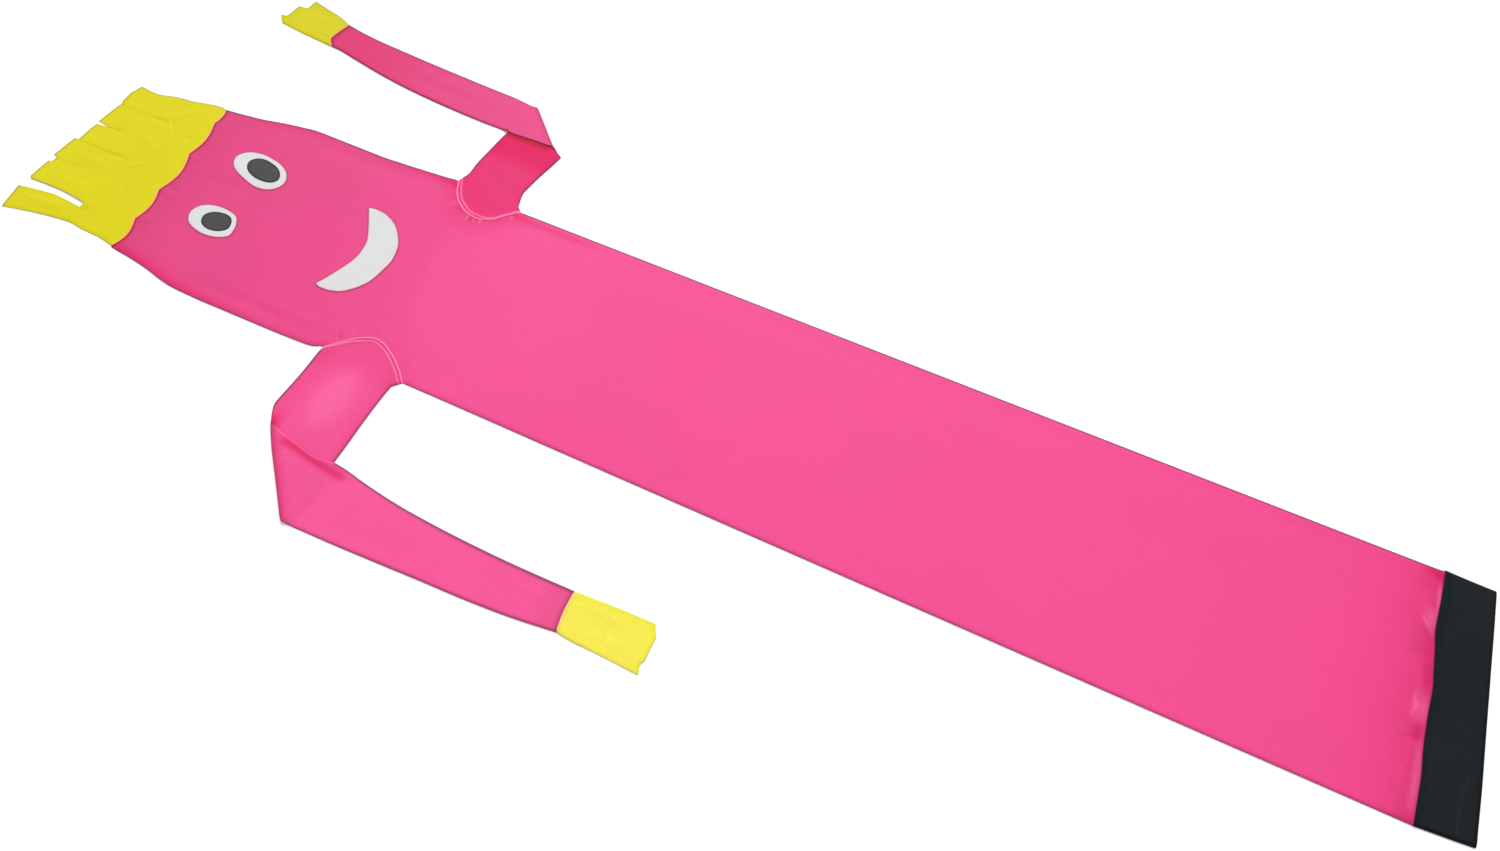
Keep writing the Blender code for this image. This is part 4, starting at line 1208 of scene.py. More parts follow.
# the faces to leave out, between a cut's two columns on both sides of the hair
count = len(strip_of)
starts_cut = np.append(np.diff(strip_of) > 0, False)
cut_starts = np.array([s.cut[0][0] if s.cut else 0.0 for s in STRIPS])
top_gaps = starts_cut & (hair_y[1:] > cut_starts[strip_of])
hair_gaps = np.zeros((len(hair_run) - 1, x.shape[1]), dtype=bool)
hair_gaps[:, :count] = top_gaps
hair_gaps[:, count:-1] = top_gaps[:, 1:-2][:, ::-1]

near_fold = to_fold(hair_folds, x, y)
from_seam = y - hair_seam(x)
to_cut = np.full(x.shape, 1.0)
for (cut_right, cut_left), s in zip(CUTS, STRIPS):
    beside = np.minimum(np.abs(x - cut_right(y)), np.abs(x - cut_left(y)))
    to_cut = np.minimum(to_cut, beside + 0.02 * ease((s.cut[0][0] - 0.012 - y) / 0.03))
hair_cloth = sleeve(
    "hair_cloth", hair_tops, hair_shares, hair_lows, hair_shares, HAIR_WIDTH, x, y, gaps=hair_gaps,
    # Painted shade deepens the hair beside its cuts and folds and darkens its tips, a painted highlight lies
    # along the lapped edge at the seam, and a dark line of painted shade runs along the left fold.
    deep=0.35 * bell(to_cut, 0.0045) + 0.30 * decay(near_fold, 0.005),
    shade=0.05 * bell(to_cut, 0.0025) + 0.90 * bell(np.abs(y[-1:] - y), 0.0044, 4),
    pale=0.95 * bell(from_seam + 0.0004, 0.0036),
    fold=np.where(x < 0, 0.0, fold_shade_line(near_fold, 0.85, 0.0050)),
)
finish_cloth(hair_cloth, yellow_cloth)
print("hair:", triangles(hair_cloth), "triangles")

# %% [markdown]
# ## The arms
#
# An arm is a tapering sleeve, set into its armhole with a bold double seam, that folds over at the
# elbow, so its forearm lies upside down on the upper arm and then on the floor. It is made in three
# runs of rows: from the armhole out to the fold, round the fold, and down the forearm. Each run
# lifts its flat plan into place with its own rule, and the three meet row to row.

# %% Arm tables
LIMB = 0.0028  # the height of an arm pressed flat
FOLD_AIR = 0.0008  # between an upper arm and the forearm that lies on it
RAMP = 0.020  # the forearm comes down to the floor over this width
DROOP = 0.0010  # how far the forearm's side folds hang below the middle of its thickness
Section = namedtuple("Section", "a_x a_y b_x b_y lift", defaults=(0.0,))  # a line across an arm
LEFT_WRIST = ((0.5705, 2.7635), (0.545, 2.7703), (0.516, 2.7757), (0.504, 2.7735), (0.4872, 2.756))
RIGHT_WRIST = ((-0.4742, 1.5228), (-0.515, 1.5212), (-0.54, 1.5175), (-0.553, 1.515))
# Where painted shade darkens the crease beside the lowered forearm.
RIGHT_VALLEY = (  # the dark crease beside the lowered forearm
    (-0.45, 2.175), (-0.4535, 2.145), (-0.4575, 2.12), (-0.4625, 2.09), (-0.4655, 2.06),
    (-0.466, 2.035),
)


def left_tones(x, y, on_upper):
    """Painted shade and brown-red painted shade on the raised arm, by place, with no highlight."""
    deep = (0.64 + 0.36 * ease((x - 0.325) / 0.06)) * on_upper + 0.36 * ease((y - 2.38) / 0.30) * ~on_upper
    warm = ease((x - 0.408) / 0.021) * ease((y - 2.094) / 0.02) * ease((2.226 - y) / 0.012) * on_upper
    return np.zeros(x.shape), deep, warm


def right_tones(x, y, on_upper):
    """Painted highlight and painted shade on the lowered arm, by place."""
    seam_side = 0.16 * ease((x + 0.285) / 0.04)
    rims = 0.12 * ease((y - 2.195) / 0.03) + 0.12 * ease((2.098 - y) / 0.02)
    elbow = 0.28 * bell(np.hypot(x + 0.415, y - 2.222), 0.016)
    puff = 0.05 + 0.24 * bump_at(x, y, -0.338, 2.149, 0.082, 0.046)
    valley = 0.84 * bell(distance_to(RIGHT_VALLEY, x, y), 0.0100)
    beside = 0.10 * ease((y - 2.060) / 0.03) * ease((2.222 - y) / 0.02)
    pale, deep = np.where(on_upper, puff, beside), np.where(on_upper, seam_side + rims + elbow, valley)
    return pale, deep, np.zeros(x.shape)


# The two side folds of an arm are its a-side and its b-side. trimmed gives the two shares along the
# armhole between which the second ridge of the seam comes in to the first. The last rows are how far
# the forearm's folds hang extra, how wide the painted shade at the wrist is, and how strong each
# painted shade and highlight is.
Arm = namedtuple("Arm", "armhole upper fold_start fold_end forearm wrist upper_creases fore_creases"
                        " trimmed tones inner_is_a extra_hang wrist_shade elbow_deep elbow_fold"
                        " fore_pale stub_pale join_pale")
LEFT_ARM = Arm(
    armhole=LEFT_ARMHOLE,
    upper=rows_of(
        Section,
        (0.266, 2.235, 0.248, 2.0785), (0.285, 2.2292, 0.284, 2.088), (0.31, 2.23, 0.306, 2.0858),
        (0.36, 2.226, 0.34, 2.0806), (0.425, 2.2188, 0.375, 2.0733),
    ),
    fold_start=((0.5245, 2.1935), (0.44, 2.105), (0.4146, 2.066)),
    fold_end=((0.5245, 2.1935), (0.482, 2.148), (0.433, 2.1)),
    forearm=rows_of(
        Section,
        (0.53, 2.235, 0.4318, 2.15), (0.5328, 2.262, 0.4296, 2.195), (0.534, 2.29, 0.4306, 2.24),
        (0.5354, 2.33, 0.4312, 2.29), (0.5388, 2.4, 0.4358, 2.39), (0.5441, 2.5, 0.4452, 2.5),
        (0.5507, 2.6, 0.4584, 2.595), (0.5571, 2.68, 0.4748, 2.68), (0.564, 2.73, 0.4848, 2.73),
    ),
    wrist=LEFT_WRIST,
    upper_creases=rows_of(
        Crease,
        (0.3, 2.17, 0.38, 2.15, 0.004, 0.0006, 0.04),
        (0.275, 2.215, 0.33, 2.212, 0.0, 0.0004, 0.008),
        (0.26, 2.11, 0.3, 2.1, 0.0, -0.0004, 0.01),
    ),
    fore_creases=rows_of(
        Crease,
        (0.5, 2.26, 0.515, 2.6, 0.004, 0.0005, 0.014),
        (0.475, 2.3, 0.48, 2.52, 0.0, -0.0004, 0.01),
    ),
    trimmed=(0.58, 0.72),
    tones=left_tones,
    inner_is_a=False,
    extra_hang=0.0009, wrist_shade=0.0085,
    elbow_deep=0.12, elbow_fold=0.40, fore_pale=0.0, stub_pale=0.55, join_pale=0.50,
)
RIGHT_ARM = Arm(
    armhole=RIGHT_ARMHOLE,
    upper=rows_of(
        Section,
        (-0.258, 2.2443, -0.26, 2.0642), (-0.3, 2.244, -0.3, 2.066), (-0.335, 2.2453, -0.36, 2.0661),
        (-0.372, 2.2478, -0.415, 2.065), (-0.389, 2.248, -0.46, 2.0655), (-0.405, 2.2415, -0.52, 2.069),
    ),
    fold_start=((-0.423, 2.2305), (-0.469, 2.1903), (-0.5245, 2.1375), (-0.5863, 2.0793)),
    fold_end=((-0.427, 2.225), (-0.469, 2.1903), (-0.5245, 2.1375), (-0.5863, 2.0793)),
    forearm=rows_of(
        Section,
        (-0.435, 2.195, -0.5868, 2.055, 0.0006), (-0.4395, 2.172, -0.586, 2.033, 0.001),
        (-0.4465, 2.14, -0.5852, 2.008, 0.001), (-0.4525, 2.104, -0.5843, 1.98, 0.001),
        (-0.4478, 2.072, -0.5836, 1.96, 0.0006), (-0.4478, 2.045, -0.5826, 1.938),
        (-0.4552, 2.0, -0.5812, 1.91), (-0.4652, 1.93, -0.579, 1.865), (-0.4735, 1.82, -0.5747, 1.78),
        (-0.4768, 1.7, -0.5707, 1.69), (-0.4762, 1.6, -0.5637, 1.6),
    ),
    wrist=RIGHT_WRIST,
    upper_creases=rows_of(
        Crease,
        (-0.25, 2.146, -0.44, 2.143, -0.003, 0.0036, 0.038),
        (-0.265, 2.218, -0.38, 2.222, 0.002, -0.0005, 0.009),
        (-0.262, 2.083, -0.4, 2.084, 0.0, -0.0005, 0.009),
        (-0.34, 2.236, -0.342, 2.218, 0.0, 0.0005, 0.004),
        (-0.3, 2.234, -0.303, 2.22, 0.0, 0.0004, 0.004),
        (-0.38, 2.076, -0.382, 2.094, 0.0, 0.0004, 0.005),
    ),
    fore_creases=rows_of(
        Crease,
        (-0.45, 2.185, -0.469, 2.03, -0.004, -0.001, 0.01),
        (-0.5, 2.05, -0.525, 1.7, 0.006, 0.0004, 0.022),
        (-0.56, 2.04, -0.552, 1.85, 0.0, -0.0003, 0.008),
        (-0.505, 1.56, -0.512, 1.64, 0.0, 0.0004, 0.009),
    ),
    trimmed=(0.40, 0.10),
    tones=right_tones,
    inner_is_a=True,
    extra_hang=0.0, wrist_shade=0.0045,
    elbow_deep=0.75, elbow_fold=0.60, fore_pale=0.10, stub_pale=0.0, join_pale=0.0,
)
for side, arm in (("left", LEFT_ARM), ("right", RIGHT_ARM)):
    print(side, "arm:", len(arm.upper + arm.forearm), "sections")

# %% [markdown]
# The double seam at the armhole is drawn by distance: two narrow ridges run along the line where the
# arm meets the body, and come together towards one end, where the seam's allowance was trimmed.
# Measuring each point's true distance keeps both ridges smooth even at the ends of the seam, where
# the rows of points run askew to it.

# %% Arm builder
SEAM_RIDGES = (0.0014, 0.0088)  # the two ridges' distances from the armhole
TRIMMED = 0.0042  # the second ridge's distance where the two come together
RIDGE_WIDTH = 0.0010
RIDGE_HEIGHT = 0.0007
ARM_WIDTH = 0.155  # about, between its side folds
CLOTH_SCALE = 0.15  # the width that its UV map gives it
NEAR_ROWS = (0.0, 0.0008, 0.0016, 0.0026, 0.0038, 0.0050, 0.0062, 0.0073, 0.0084, 0.0096, 0.0110, 0.0125)
LAP_ROWS = (-LAP, -0.0007)
FOLD_ANGLES = np.linspace(15, 165, 9)  # of the rows round the elbow's fold
STUB = (2.062, 2.216)  # the Y between which a forearm's inner fold lies on the upper arm


def ridge_lines(share, trimmed):
    """The two ridges' distances from the armhole, for shares along it."""
    near = SEAM_RIDGES[0] + 0.0003 * np.sin(41 * share) + 0.0002 * np.sin(97 * share + 1)
    apart = 1 - ease((share - trimmed[0]) / (trimmed[1] - trimmed[0]))
    far = TRIMMED + (SEAM_RIDGES[1] - TRIMMED) * apart
    return near, far + 0.0004 * np.sin(33 * share + 2) + 0.0003 * np.sin(83 * share)


def ridges(distance, share, trimmed, width):
    """1 on the middle of each ridge of the double seam, and 0 away from them."""
    near, far = ridge_lines(share, trimmed)
    return 1.15 * bell(distance - near, width) + 0.9 * bell(distance - far, width)


def seam_bulge(distance, share, trimmed):
    """The double seam's height."""
    far = ridge_lines(share, trimmed)[1]
    band = 0.0002 * ease((far + 0.0022 - distance) / 0.0018)
    return band + RIDGE_HEIGHT * ridges(distance, share, trimmed, RIDGE_WIDTH)


def guide_run(guides):
    """The mean gap after each guide row, and the run from the first row to each one."""
    gaps = np.linalg.norm(np.diff(guides, axis=0), axis=-1).mean(axis=1)
    return gaps, np.concatenate([[0.0], np.cumsum(gaps)])


def along_rows(guides, step):
    """Rows between guide rows, each column on its own smooth curve. step is a distance, or all places."""
    guides = np.array(guides)
    gaps, run = guide_run(guides)
    secants = np.diff(guides, axis=0) / gaps[:, None, None]
    slopes = np.empty_like(guides)
    slopes[0], slopes[-1] = secants[0], secants[-1]
    before, after = gaps[:-1, None, None], gaps[1:, None, None]
    slopes[1:-1] = (after * secants[:-1] + before * secants[1:]) / (before + after)
    wanted = step if np.ndim(step) else np.linspace(0, run[-1], max(int(round(run[-1] / step)), 2) + 1)
    rows = []
    for place in wanted:
        k = int(np.clip(np.searchsorted(run, place) - 1, 0, len(gaps) - 1))
        h = gaps[k]
        t = (place - run[k]) / h
        rows.append((2 * t**3 - 3 * t**2 + 1) * guides[k] + (t**3 - 2 * t**2 + t) * h * slopes[k]
                    + (3 * t**2 - 2 * t**3) * guides[k + 1] + (t**3 - t**2) * h * slopes[k + 1])
    return np.array(rows)


def across_line(curve, shares):
    """Points on a curve at the given shares of its length."""
    curve = np.array(curve, dtype=float)
    steps, run = lengths(curve)
    return points_at(curve, run / steps.sum(), shares)


def section_line(s, shares):
    return across_line(((s.a_x, s.a_y), (s.b_x, s.b_y)), shares)


def floor_side(x, edge):
    """The height of a limb's underside, from the distance to its side folds."""
    return np.broadcast_to(FOLD_HEIGHT * (1 - roll(edge, UNDER_ROLL)), x.shape)


def upper_run(arm, arc, shares, edge, start):
    """From the armhole to the fold: the front, the underside, and the front's distance from the armhole."""
    root, first = across_line(arc, shares), section_line(arm.upper[0], shares)
    middle = len(shares) // 2
    reach = float(np.linalg.norm(first[middle] - root[middle]))
    gusset = [root + (first - root) * d / reach for d in (*NEAR_ROWS, *np.linspace(0.016, reach, 15)[:-1])]
    guides = [section_line(s, shares) for s in arm.upper] + [start]
    fine, coarse = along_rows(guides, np.linspace(0, 0.0135, 10)), along_rows(guides, 0.0045)
    into = (first - root) / np.linalg.norm(first - root, axis=1)[:, None]
    fade = ease(edge / 0.012)[:, None]
    lapped = [root + into * np.minimum(d * fade, SNUG * d / LAP) for d in LAP_ROWS]
    snug = [root + into * SNUG * d / LAP for d in LAP_ROWS]
    x, y = np.moveaxis(np.concatenate([lapped, gusset, fine, coarse[4:]]), -1, 0)
    low_x, low_y = np.moveaxis(np.concatenate([snug, gusset, fine, coarse[4:]]), -1, 0)
    distance = distance_to(arc, x, y)
    distance[:len(LAP_ROWS)] *= -1
    own = LIMB + relief(arm.upper_creases, x, y) + swell(x, y, 0.0004, 7)
    full = laid_over(own, body_front(x, y) + LIFT, ease((0.016 - distance) / 0.014))
    full = full + seam_bulge(distance, shares, arm.trimmed)
    return places(x, y, rolled(full, edge)), places(low_x, low_y, floor_side(x, edge)), distance


def fold_run(start, end, edge):
    """Round the fold: the outer side and the inner side of the flattened sleeve."""
    chord = end[-1] - end[0]
    chord /= np.linalg.norm(chord)
    out = np.array([chord[1], -chord[0]])
    if out[0] * end[0, 0] < 0:
        out = -out
    radius = (LIMB + FOLD_AIR) / 2
    flat = LIMB / 2 * roll(edge, FRONT_ROLL)
    tops, lows = [], []
    for angle in FOLD_ANGLES:
        t = math.radians(angle)
        row = start + (end - start) * angle / 180 + out * radius * (math.sin(t) - 1)
        centre = np.column_stack([row, np.full(len(row), LIMB / 2 + radius * (1 - math.cos(t)))])
        normal = np.array([-out[0] * math.sin(t), -out[1] * math.sin(t), math.cos(t)])
        tops.append(centre + normal * flat[:, None])
        lows.append(centre - normal * flat[:, None])
    return tops, lows


def fore_run(arm, shares, edge, start, end):
    """Down the forearm, which lies upside down: its hidden side, and the side that shows."""
    lines = [end] + [section_line(s, shares) for s in arm.forearm] + [across_line(smooth(arm.wrist), shares)]
    plan = along_rows(lines, 0.0062)
    x, y = np.moveaxis(plan, -1, 0)
    run = guide_run(lines)[1]
    lifts = [arm.forearm[0].lift, *(s.lift for s in arm.forearm), 0.0]
    lift = np.interp(np.linspace(0, run[-1], len(plan)), run, lifts)[:, None]
    from_inner = np.linalg.norm(plan - (plan[:, :1] if arm.inner_is_a else plan[:, -1:]), axis=-1)
    way = 1 if arm.wrist[0][1] > arm.armhole[0][1] else -1
    side = 0 if way > 0 else -1
    rim = [section_line(s, (0.0, 1.0))[side] for s in arm.upper[2:]] + [start[side]]
    past_rim = (y - look_up(sorted(map(tuple, rim)), x)) * way
    over = (LIMB + FOLD_AIR) * (1 - ease((past_rim - 0.001) / RAMP))
    over = over + lift * (1 - ease(from_inner / 0.020))
    loose = relief(arm.fore_creases, x, y) + swell(x, y, 0.0004, 9)
    half = LIMB / 2 * roll(edge, FRONT_ROLL)
    hang = DROOP + arm.extra_hang * over / (LIMB + FOLD_AIR)
    droop = hang * (1 - roll(edge, FRONT_ROLL)) * ease(np.arange(len(plan)) / 3)[:, None]
    shown = over + LIMB / 2 + half - droop + loose * ease(edge / 0.006)
    hidden = over + LIMB / 2 - half - droop * 0.8
    return places(x, y, hidden), places(x, y, shown)


def round_shares(shares):
    """Shares across a sleeve for all of its ring: over the front and back along the underside."""
    return np.concatenate([shares, shares[1:-1][::-1]])


def arm_cloth(name, arm):
    """An arm from its armhole, folded over at the elbow, to its wrist. Also its upper arm's front."""
    shares = columns(ARM_WIDTH, 0.0040)
    edge = np.minimum(shares, 1 - shares) * ARM_WIDTH
    arc = spread(smooth(arm.armhole), 60)
    start, end = (across_line(smooth(line), shares) for line in (arm.fold_start, arm.fold_end))
    upper_top, upper_low, distance = upper_run(arm, arc, shares, edge, start)
    bend_top, bend_low = fold_run(start, end, edge)
    fore_top, fore_low = fore_run(arm, shares, edge, start, end)
    tops = np.concatenate([upper_top, bend_top, fore_top])
    lows = np.concatenate([upper_low, bend_low, fore_low])
    x, y, _ = np.moveaxis(ring(tops, lows), -1, 0)

    # where each point is
    row = np.arange(len(tops))[:, None]
    on_upper, on_fore = row < len(upper_top), row >= len(tops) - len(fore_top)
    length = lengths(tops[:, len(shares) // 2])[1][:, None]
    to_wrist = length[-1] - length
    ring_share = round_shares(shares)
    across = np.linalg.norm(tops[:, 0, :2] - tops[:, -1, :2], axis=-1)[:, None]
    near_fold = np.minimum(ring_share, 1 - ring_share) * across
    from_inner = (ring_share if arm.inner_is_a else 1 - ring_share) * CLOTH_SCALE
    on_inner = bell(from_inner - 0.0015, 0.0035) * on_fore
    on_stub = ~on_upper & (on_inner > 0.01) & (y > STUB[0]) & (y < STUB[1])
    to_seam = np.full(x.shape, 1.0)
    low_side = slice(len(upper_top)), slice(len(shares), None)
    to_seam[:len(upper_top), :len(shares)] = distance
    to_seam[low_side] = distance_to(arc, x[low_side], y[low_side])
    to_elbow = np.minimum(distance_to(start[::6], x, y), distance_to(end[::6], x, y))
    near_ridge, far_ridge = ridge_lines(ring_share, arm.trimmed)
    between = bell(to_seam - (near_ridge + far_ridge) / 2, 0.0022) * (far_ridge - near_ridge > 0.005)

    # and how it is painted: highlights on the seam's ridges and where the arm is lit, painted shade by the
    # folds, the elbow, the seam and the wrist, and dark lines of painted shade along the folds
    pale, tone, warm = arm.tones(x, y, on_upper)
    pale = np.where(on_upper, pale, pale * on_inner)
    pale = pale + ridges(to_seam, ring_share, arm.trimmed, 1.5 * RIDGE_WIDTH) + arm.fore_pale * ~on_upper
    pale = pale + arm.stub_pale * on_stub * bell(near_fold, 0.0075)
    pale = pale + arm.join_pale * bell(to_seam + 0.0004, 0.0012)
    deep = tone + 0.20 * decay(near_fold, 0.006) + arm.elbow_deep * bell(to_elbow, 0.0130) + 0.5 * between
    shade = bell(np.maximum(to_wrist - 0.0010, 0), arm.wrist_shade) + 0.16 * decay(to_wrist, 0.012)
    far_side = ring_share < 0.5
    edge_shade = fold_shade_line(near_fold, np.where(far_side, 1.0, 0.50), np.where(far_side, 0.0058, 0.0040))
    edge_shade = np.where(on_stub, 0.0, edge_shade * ease((to_seam - 0.004) / 0.008))
    made = sleeve(name, tops, shares, lows, shares, ARM_WIDTH, ring_share * CLOTH_SCALE, length,
                  deep=deep, shade=shade, pale=0.9 * pale, warm=warm,
                  fold=np.maximum(edge_shade, fold_shade_line(to_elbow, arm.elbow_fold)))
    print(name, ":", triangles(made), "triangles,", round(float(length[-1, 0]), 3), "m long")
    return finish_cloth(made, pink_cloth), upper_top


left_arm, left_top = arm_cloth("left_arm_cloth", LEFT_ARM)
right_arm, right_top = arm_cloth("right_arm_cloth", RIGHT_ARM)

# %% [markdown]
# ## The hands
#
# Each hand is a short yellow cuff, sewn over the end of the sleeve and cut off unevenly. Its last
# row of points follows the cut. Small tucks fan out from the wrist's seam, which gathers the cuff.

# %% Hands
HAND_TIP = 0.0016  # a cuff sinks to this height at its cut
HAND_WIDTH = 0.095
HAND_LENGTH = 0.125
HAND_ROLL = 0.0060
HAND_FOLDS = (*FOLD_STEPS[:-2], HAND_ROLL)
HAND_ROWS = (0.0, 0.0012, 0.0026, 0.0045, 0.0070, *np.linspace(0.0105, HAND_LENGTH, 38))
Hand = namedtuple("Hand", "wrist sections end creases material tone")
LEFT_HAND = Hand(
    wrist=LEFT_WRIST,
    sections=rows_of(
        Section,
        (0.5845, 2.8, 0.4912, 2.8), (0.5918, 2.83, 0.4938, 2.83), (0.5985, 2.86, 0.4965, 2.86),
        (0.6067, 2.895, 0.501, 2.895), (0.616, 2.95, 0.508, 2.95),
    ),
    end=(
        (0.65, 2.8915), (0.5745, 2.8945), (0.5725, 2.919), (0.529, 2.9235), (0.528, 2.9415),
        (0.503, 2.9182), (0.46, 2.88),
    ),
    creases=rows_of(
        Crease,
        (0.52, 2.782, 0.516, 2.805, 0.0, 0.0008, 0.0035),
        (0.54, 2.78, 0.546, 2.8, 0.0, 0.0007, 0.0035),
        (0.505, 2.8, 0.52, 2.9, 0.004, 0.0005, 0.01),
        (0.57, 2.82, 0.58, 2.88, 0.0, -0.0005, 0.008),
        (0.5, 2.89, 0.56, 2.905, 0.003, 0.0007, 0.005),
    ),
    material=yellow_cloth,
    tone=0.40,
)
RIGHT_HAND = Hand(
    wrist=RIGHT_WRIST,
    sections=rows_of(
        Section,
        (-0.4722, 1.49, -0.5558, 1.49), (-0.4692, 1.45, -0.5563, 1.45), (-0.4675, 1.41, -0.557, 1.41),
        (-0.4652, 1.335, -0.5592, 1.335),
    ),
    end=(
        (-0.43, 1.381), (-0.466, 1.3655), (-0.4745, 1.361), (-0.48, 1.3575), (-0.485, 1.3535),
        (-0.5325, 1.3528), (-0.536, 1.3562), (-0.545, 1.3565), (-0.552, 1.3525), (-0.6, 1.3515),
    ),
    creases=rows_of(
        Crease,
        (-0.497, 1.512, -0.494, 1.495, 0.0, 0.0004, 0.003),
        (-0.51, 1.512, -0.512, 1.5, 0.0, 0.0003, 0.0028),
        (-0.49, 1.49, -0.5, 1.39, 0.004, 0.0005, 0.009),
        (-0.53, 1.48, -0.526, 1.4, -0.004, 0.0004, 0.008),
        (-0.512, 1.45, -0.545, 1.43, 0.0, -0.0004, 0.006),
        (-0.48, 1.4, -0.54, 1.385, 0.004, -0.0004, 0.006),
    ),
    material=cuff_cloth,
    tone=0.0,
)


def trimmed_rows(guides, end, way):
    """Rows from the wrist to the cut: each column of the guides ends where it meets the cut."""
    made = []
    wanted = np.array(HAND_ROWS) / HAND_LENGTH
    for column in np.swapaxes(guides, 0, 1):
        past = way * (column[:, 1] - look_up(sorted(end), column[:, 0]))
        stop = int(np.argmax(past > 0)) or len(column) - 1
        t = -past[stop - 1] / (past[stop] - past[stop - 1])
        last = column[stop - 1] + t * (column[stop] - column[stop - 1])
        made.append(across_line(np.vstack([column[:stop], last]), wanted))
    return np.stack(made, axis=1)


def hand_cloth(name, hand):
    """A cuff from its wrist's seam to its uneven cut."""
    shares = columns(HAND_WIDTH, 0.0024, HAND_FOLDS)
    edge = np.minimum(shares, 1 - shares) * HAND_WIDTH
    way = 1 if hand.sections[-1].a_y > hand.wrist[0][1] else -1
    start = across_line(smooth(hand.wrist), shares)
    guides = [start] + [section_line(s, shares) for s in hand.sections]
    plan = trimmed_rows(along_rows(guides, 0.002), hand.end, way)
    lap = ease(edge / LAP_FADE)[:, None] * np.array([0.0, -way])
    snug = np.array([0.0, -way * SNUG])
    plan_top = np.concatenate([[start + lap * LAP + snug, start + lap * 0.0006 + snug / 2], plan])
    low_x, low_y = np.moveaxis(np.concatenate([[start + snug, start + snug / 2], plan]), -1, 0)
    x, y = np.moveaxis(plan_top, -1, 0)
    from_wrist = np.linalg.norm(plan_top - start, axis=-1)
    from_wrist[:2] *= -1
    full = LIMB + (relief(hand.creases, x, y) + swell(x, y, 0.0006, 13)) * ease(from_wrist / 0.006 + 0.2)
    full = full + (HAND_TIP - LIMB) * ease(from_wrist / 0.13)
    full = full + LIFT * (1 - ease((from_wrist - 0.003) / 0.005))
    tops = places(x, y, rolled(full, edge, HAND_ROLL))
    lows = places(low_x, low_y, floor_side(x, edge))

    points = ring(tops, lows)
    x, y, _ = np.moveaxis(points, -1, 0)
    ring_share = round_shares(shares)
    near_fold = np.minimum(ring_share, 1 - ring_share) * HAND_WIDTH
    wrist_away = np.concatenate([from_wrist, np.abs(from_wrist[:, 1:-1][:, ::-1])], axis=1)
    tip_away = np.linalg.norm(points[..., :2] - points[-1:, :, :2], axis=-1)
    far_side = x > (tops[:, 0, 0] + tops[:, -1, 0])[:, None] / 2
    by_fold = np.where(far_side, 0.8, 0.2) * decay(near_fold, 0.008)
    made = sleeve(name, tops, shares, lows, shares, HAND_WIDTH, x, y,
                  # Painted shade deepens each cuff beside its folds and at its cut and darkens the cut, the
                  # left cuff is deeper all over, a painted highlight lies along the wrist's seam, and a dark
                  # line of painted shade runs along the far fold.
                  deep=hand.tone + by_fold + 0.6 * decay(tip_away, 0.008),
                  shade=(0.35 + hand.tone) * bell(tip_away, 0.0042, 4),
                  pale=0.95 * bell(wrist_away + 0.0004, 0.0034),
                  fold=fold_shade_line(near_fold, np.where(far_side, 0.75, 0.0), 0.0045))
    print(name, ":", triangles(made), "triangles")
    return finish_cloth(made, hand.material)


left_hand = hand_cloth("left_hand_cloth", LEFT_HAND)
right_hand = hand_cloth("right_hand_cloth", RIGHT_HAND)

# %% [markdown]
# ## The face
#
# Two white eyes, their dark pupils and a smile are cut from plain cloth and sewn to the front. Each
# takes its height from the body beneath it, so it bends with every crease there. Its rim dips, as it
# is drawn down by its stitches.

# %% Face
LEFT_EYE = (
    (0.127, 2.656), (0.128, 2.682), (0.119, 2.715), (0.0945, 2.732), (0.067, 2.7165), (0.0485, 2.676),
    (0.0385, 2.63), (0.048, 2.5955), (0.074, 2.58), (0.1025, 2.593), (0.12, 2.6225),
)
RIGHT_EYE = (
    (-0.0365, 2.654), (-0.04, 2.684), (-0.051, 2.706), (-0.069, 2.7165), (-0.088, 2.714),
    (-0.105, 2.6985), (-0.1145, 2.672), (-0.117, 2.645), (-0.112, 2.618), (-0.0985, 2.5955),
    (-0.08, 2.5945), (-0.059, 2.6025), (-0.0425, 2.619),
)
LEFT_PUPIL = (
    (0.113, 2.6455), (0.115, 2.665), (0.1105, 2.682), (0.0985, 2.6925), (0.0845, 2.6905),
    (0.0715, 2.678), (0.0625, 2.655), (0.0605, 2.63), (0.066, 2.609), (0.079, 2.6005), (0.0945, 2.6075),
    (0.107, 2.624),
)
RIGHT_PUPIL = (
    (-0.0505, 2.644), (-0.0555, 2.666), (-0.0665, 2.679), (-0.079, 2.681), (-0.093, 2.672),
    (-0.1, 2.653), (-0.098, 2.632), (-0.089, 2.6155), (-0.078, 2.61), (-0.063, 2.615), (-0.053, 2.626),
)
SMILE_OUTER = (
    (0.1015, 2.375), (0.105, 2.35), (0.1, 2.3195), (0.0815, 2.285), (0.0435, 2.2525), (0.005, 2.24),
    (-0.02, 2.2405), (-0.0705, 2.2515), (-0.109, 2.282), (-0.123, 2.312), (-0.125, 2.34),
)
SMILE_INNER = (
    (0.1015, 2.375), (0.079, 2.359), (0.0415, 2.334), (0.017, 2.321), (-0.008, 2.317), (-0.02, 2.3165),
    (-0.0445, 2.3215), (-0.0945, 2.341), (-0.1195, 2.354),
)
PATCH_WALL = 0.0005
PATCH_LIFT = 0.0009  # a patch's top lies this high over the body's front
PUPIL_LIFT = 0.0018
RIM_DIP = 0.0003  # the top is lower by this at its rim
GROOVE = 0.00025  # and by this under its stitches
SEWN_AT = 0.0030  # the groove's distance from the rim
RING_SIZES = (1.0, 0.985, 0.965, 0.94, 0.91, 0.87, 0.78, 0.66, 0.53, 0.40, 0.27, 0.14)


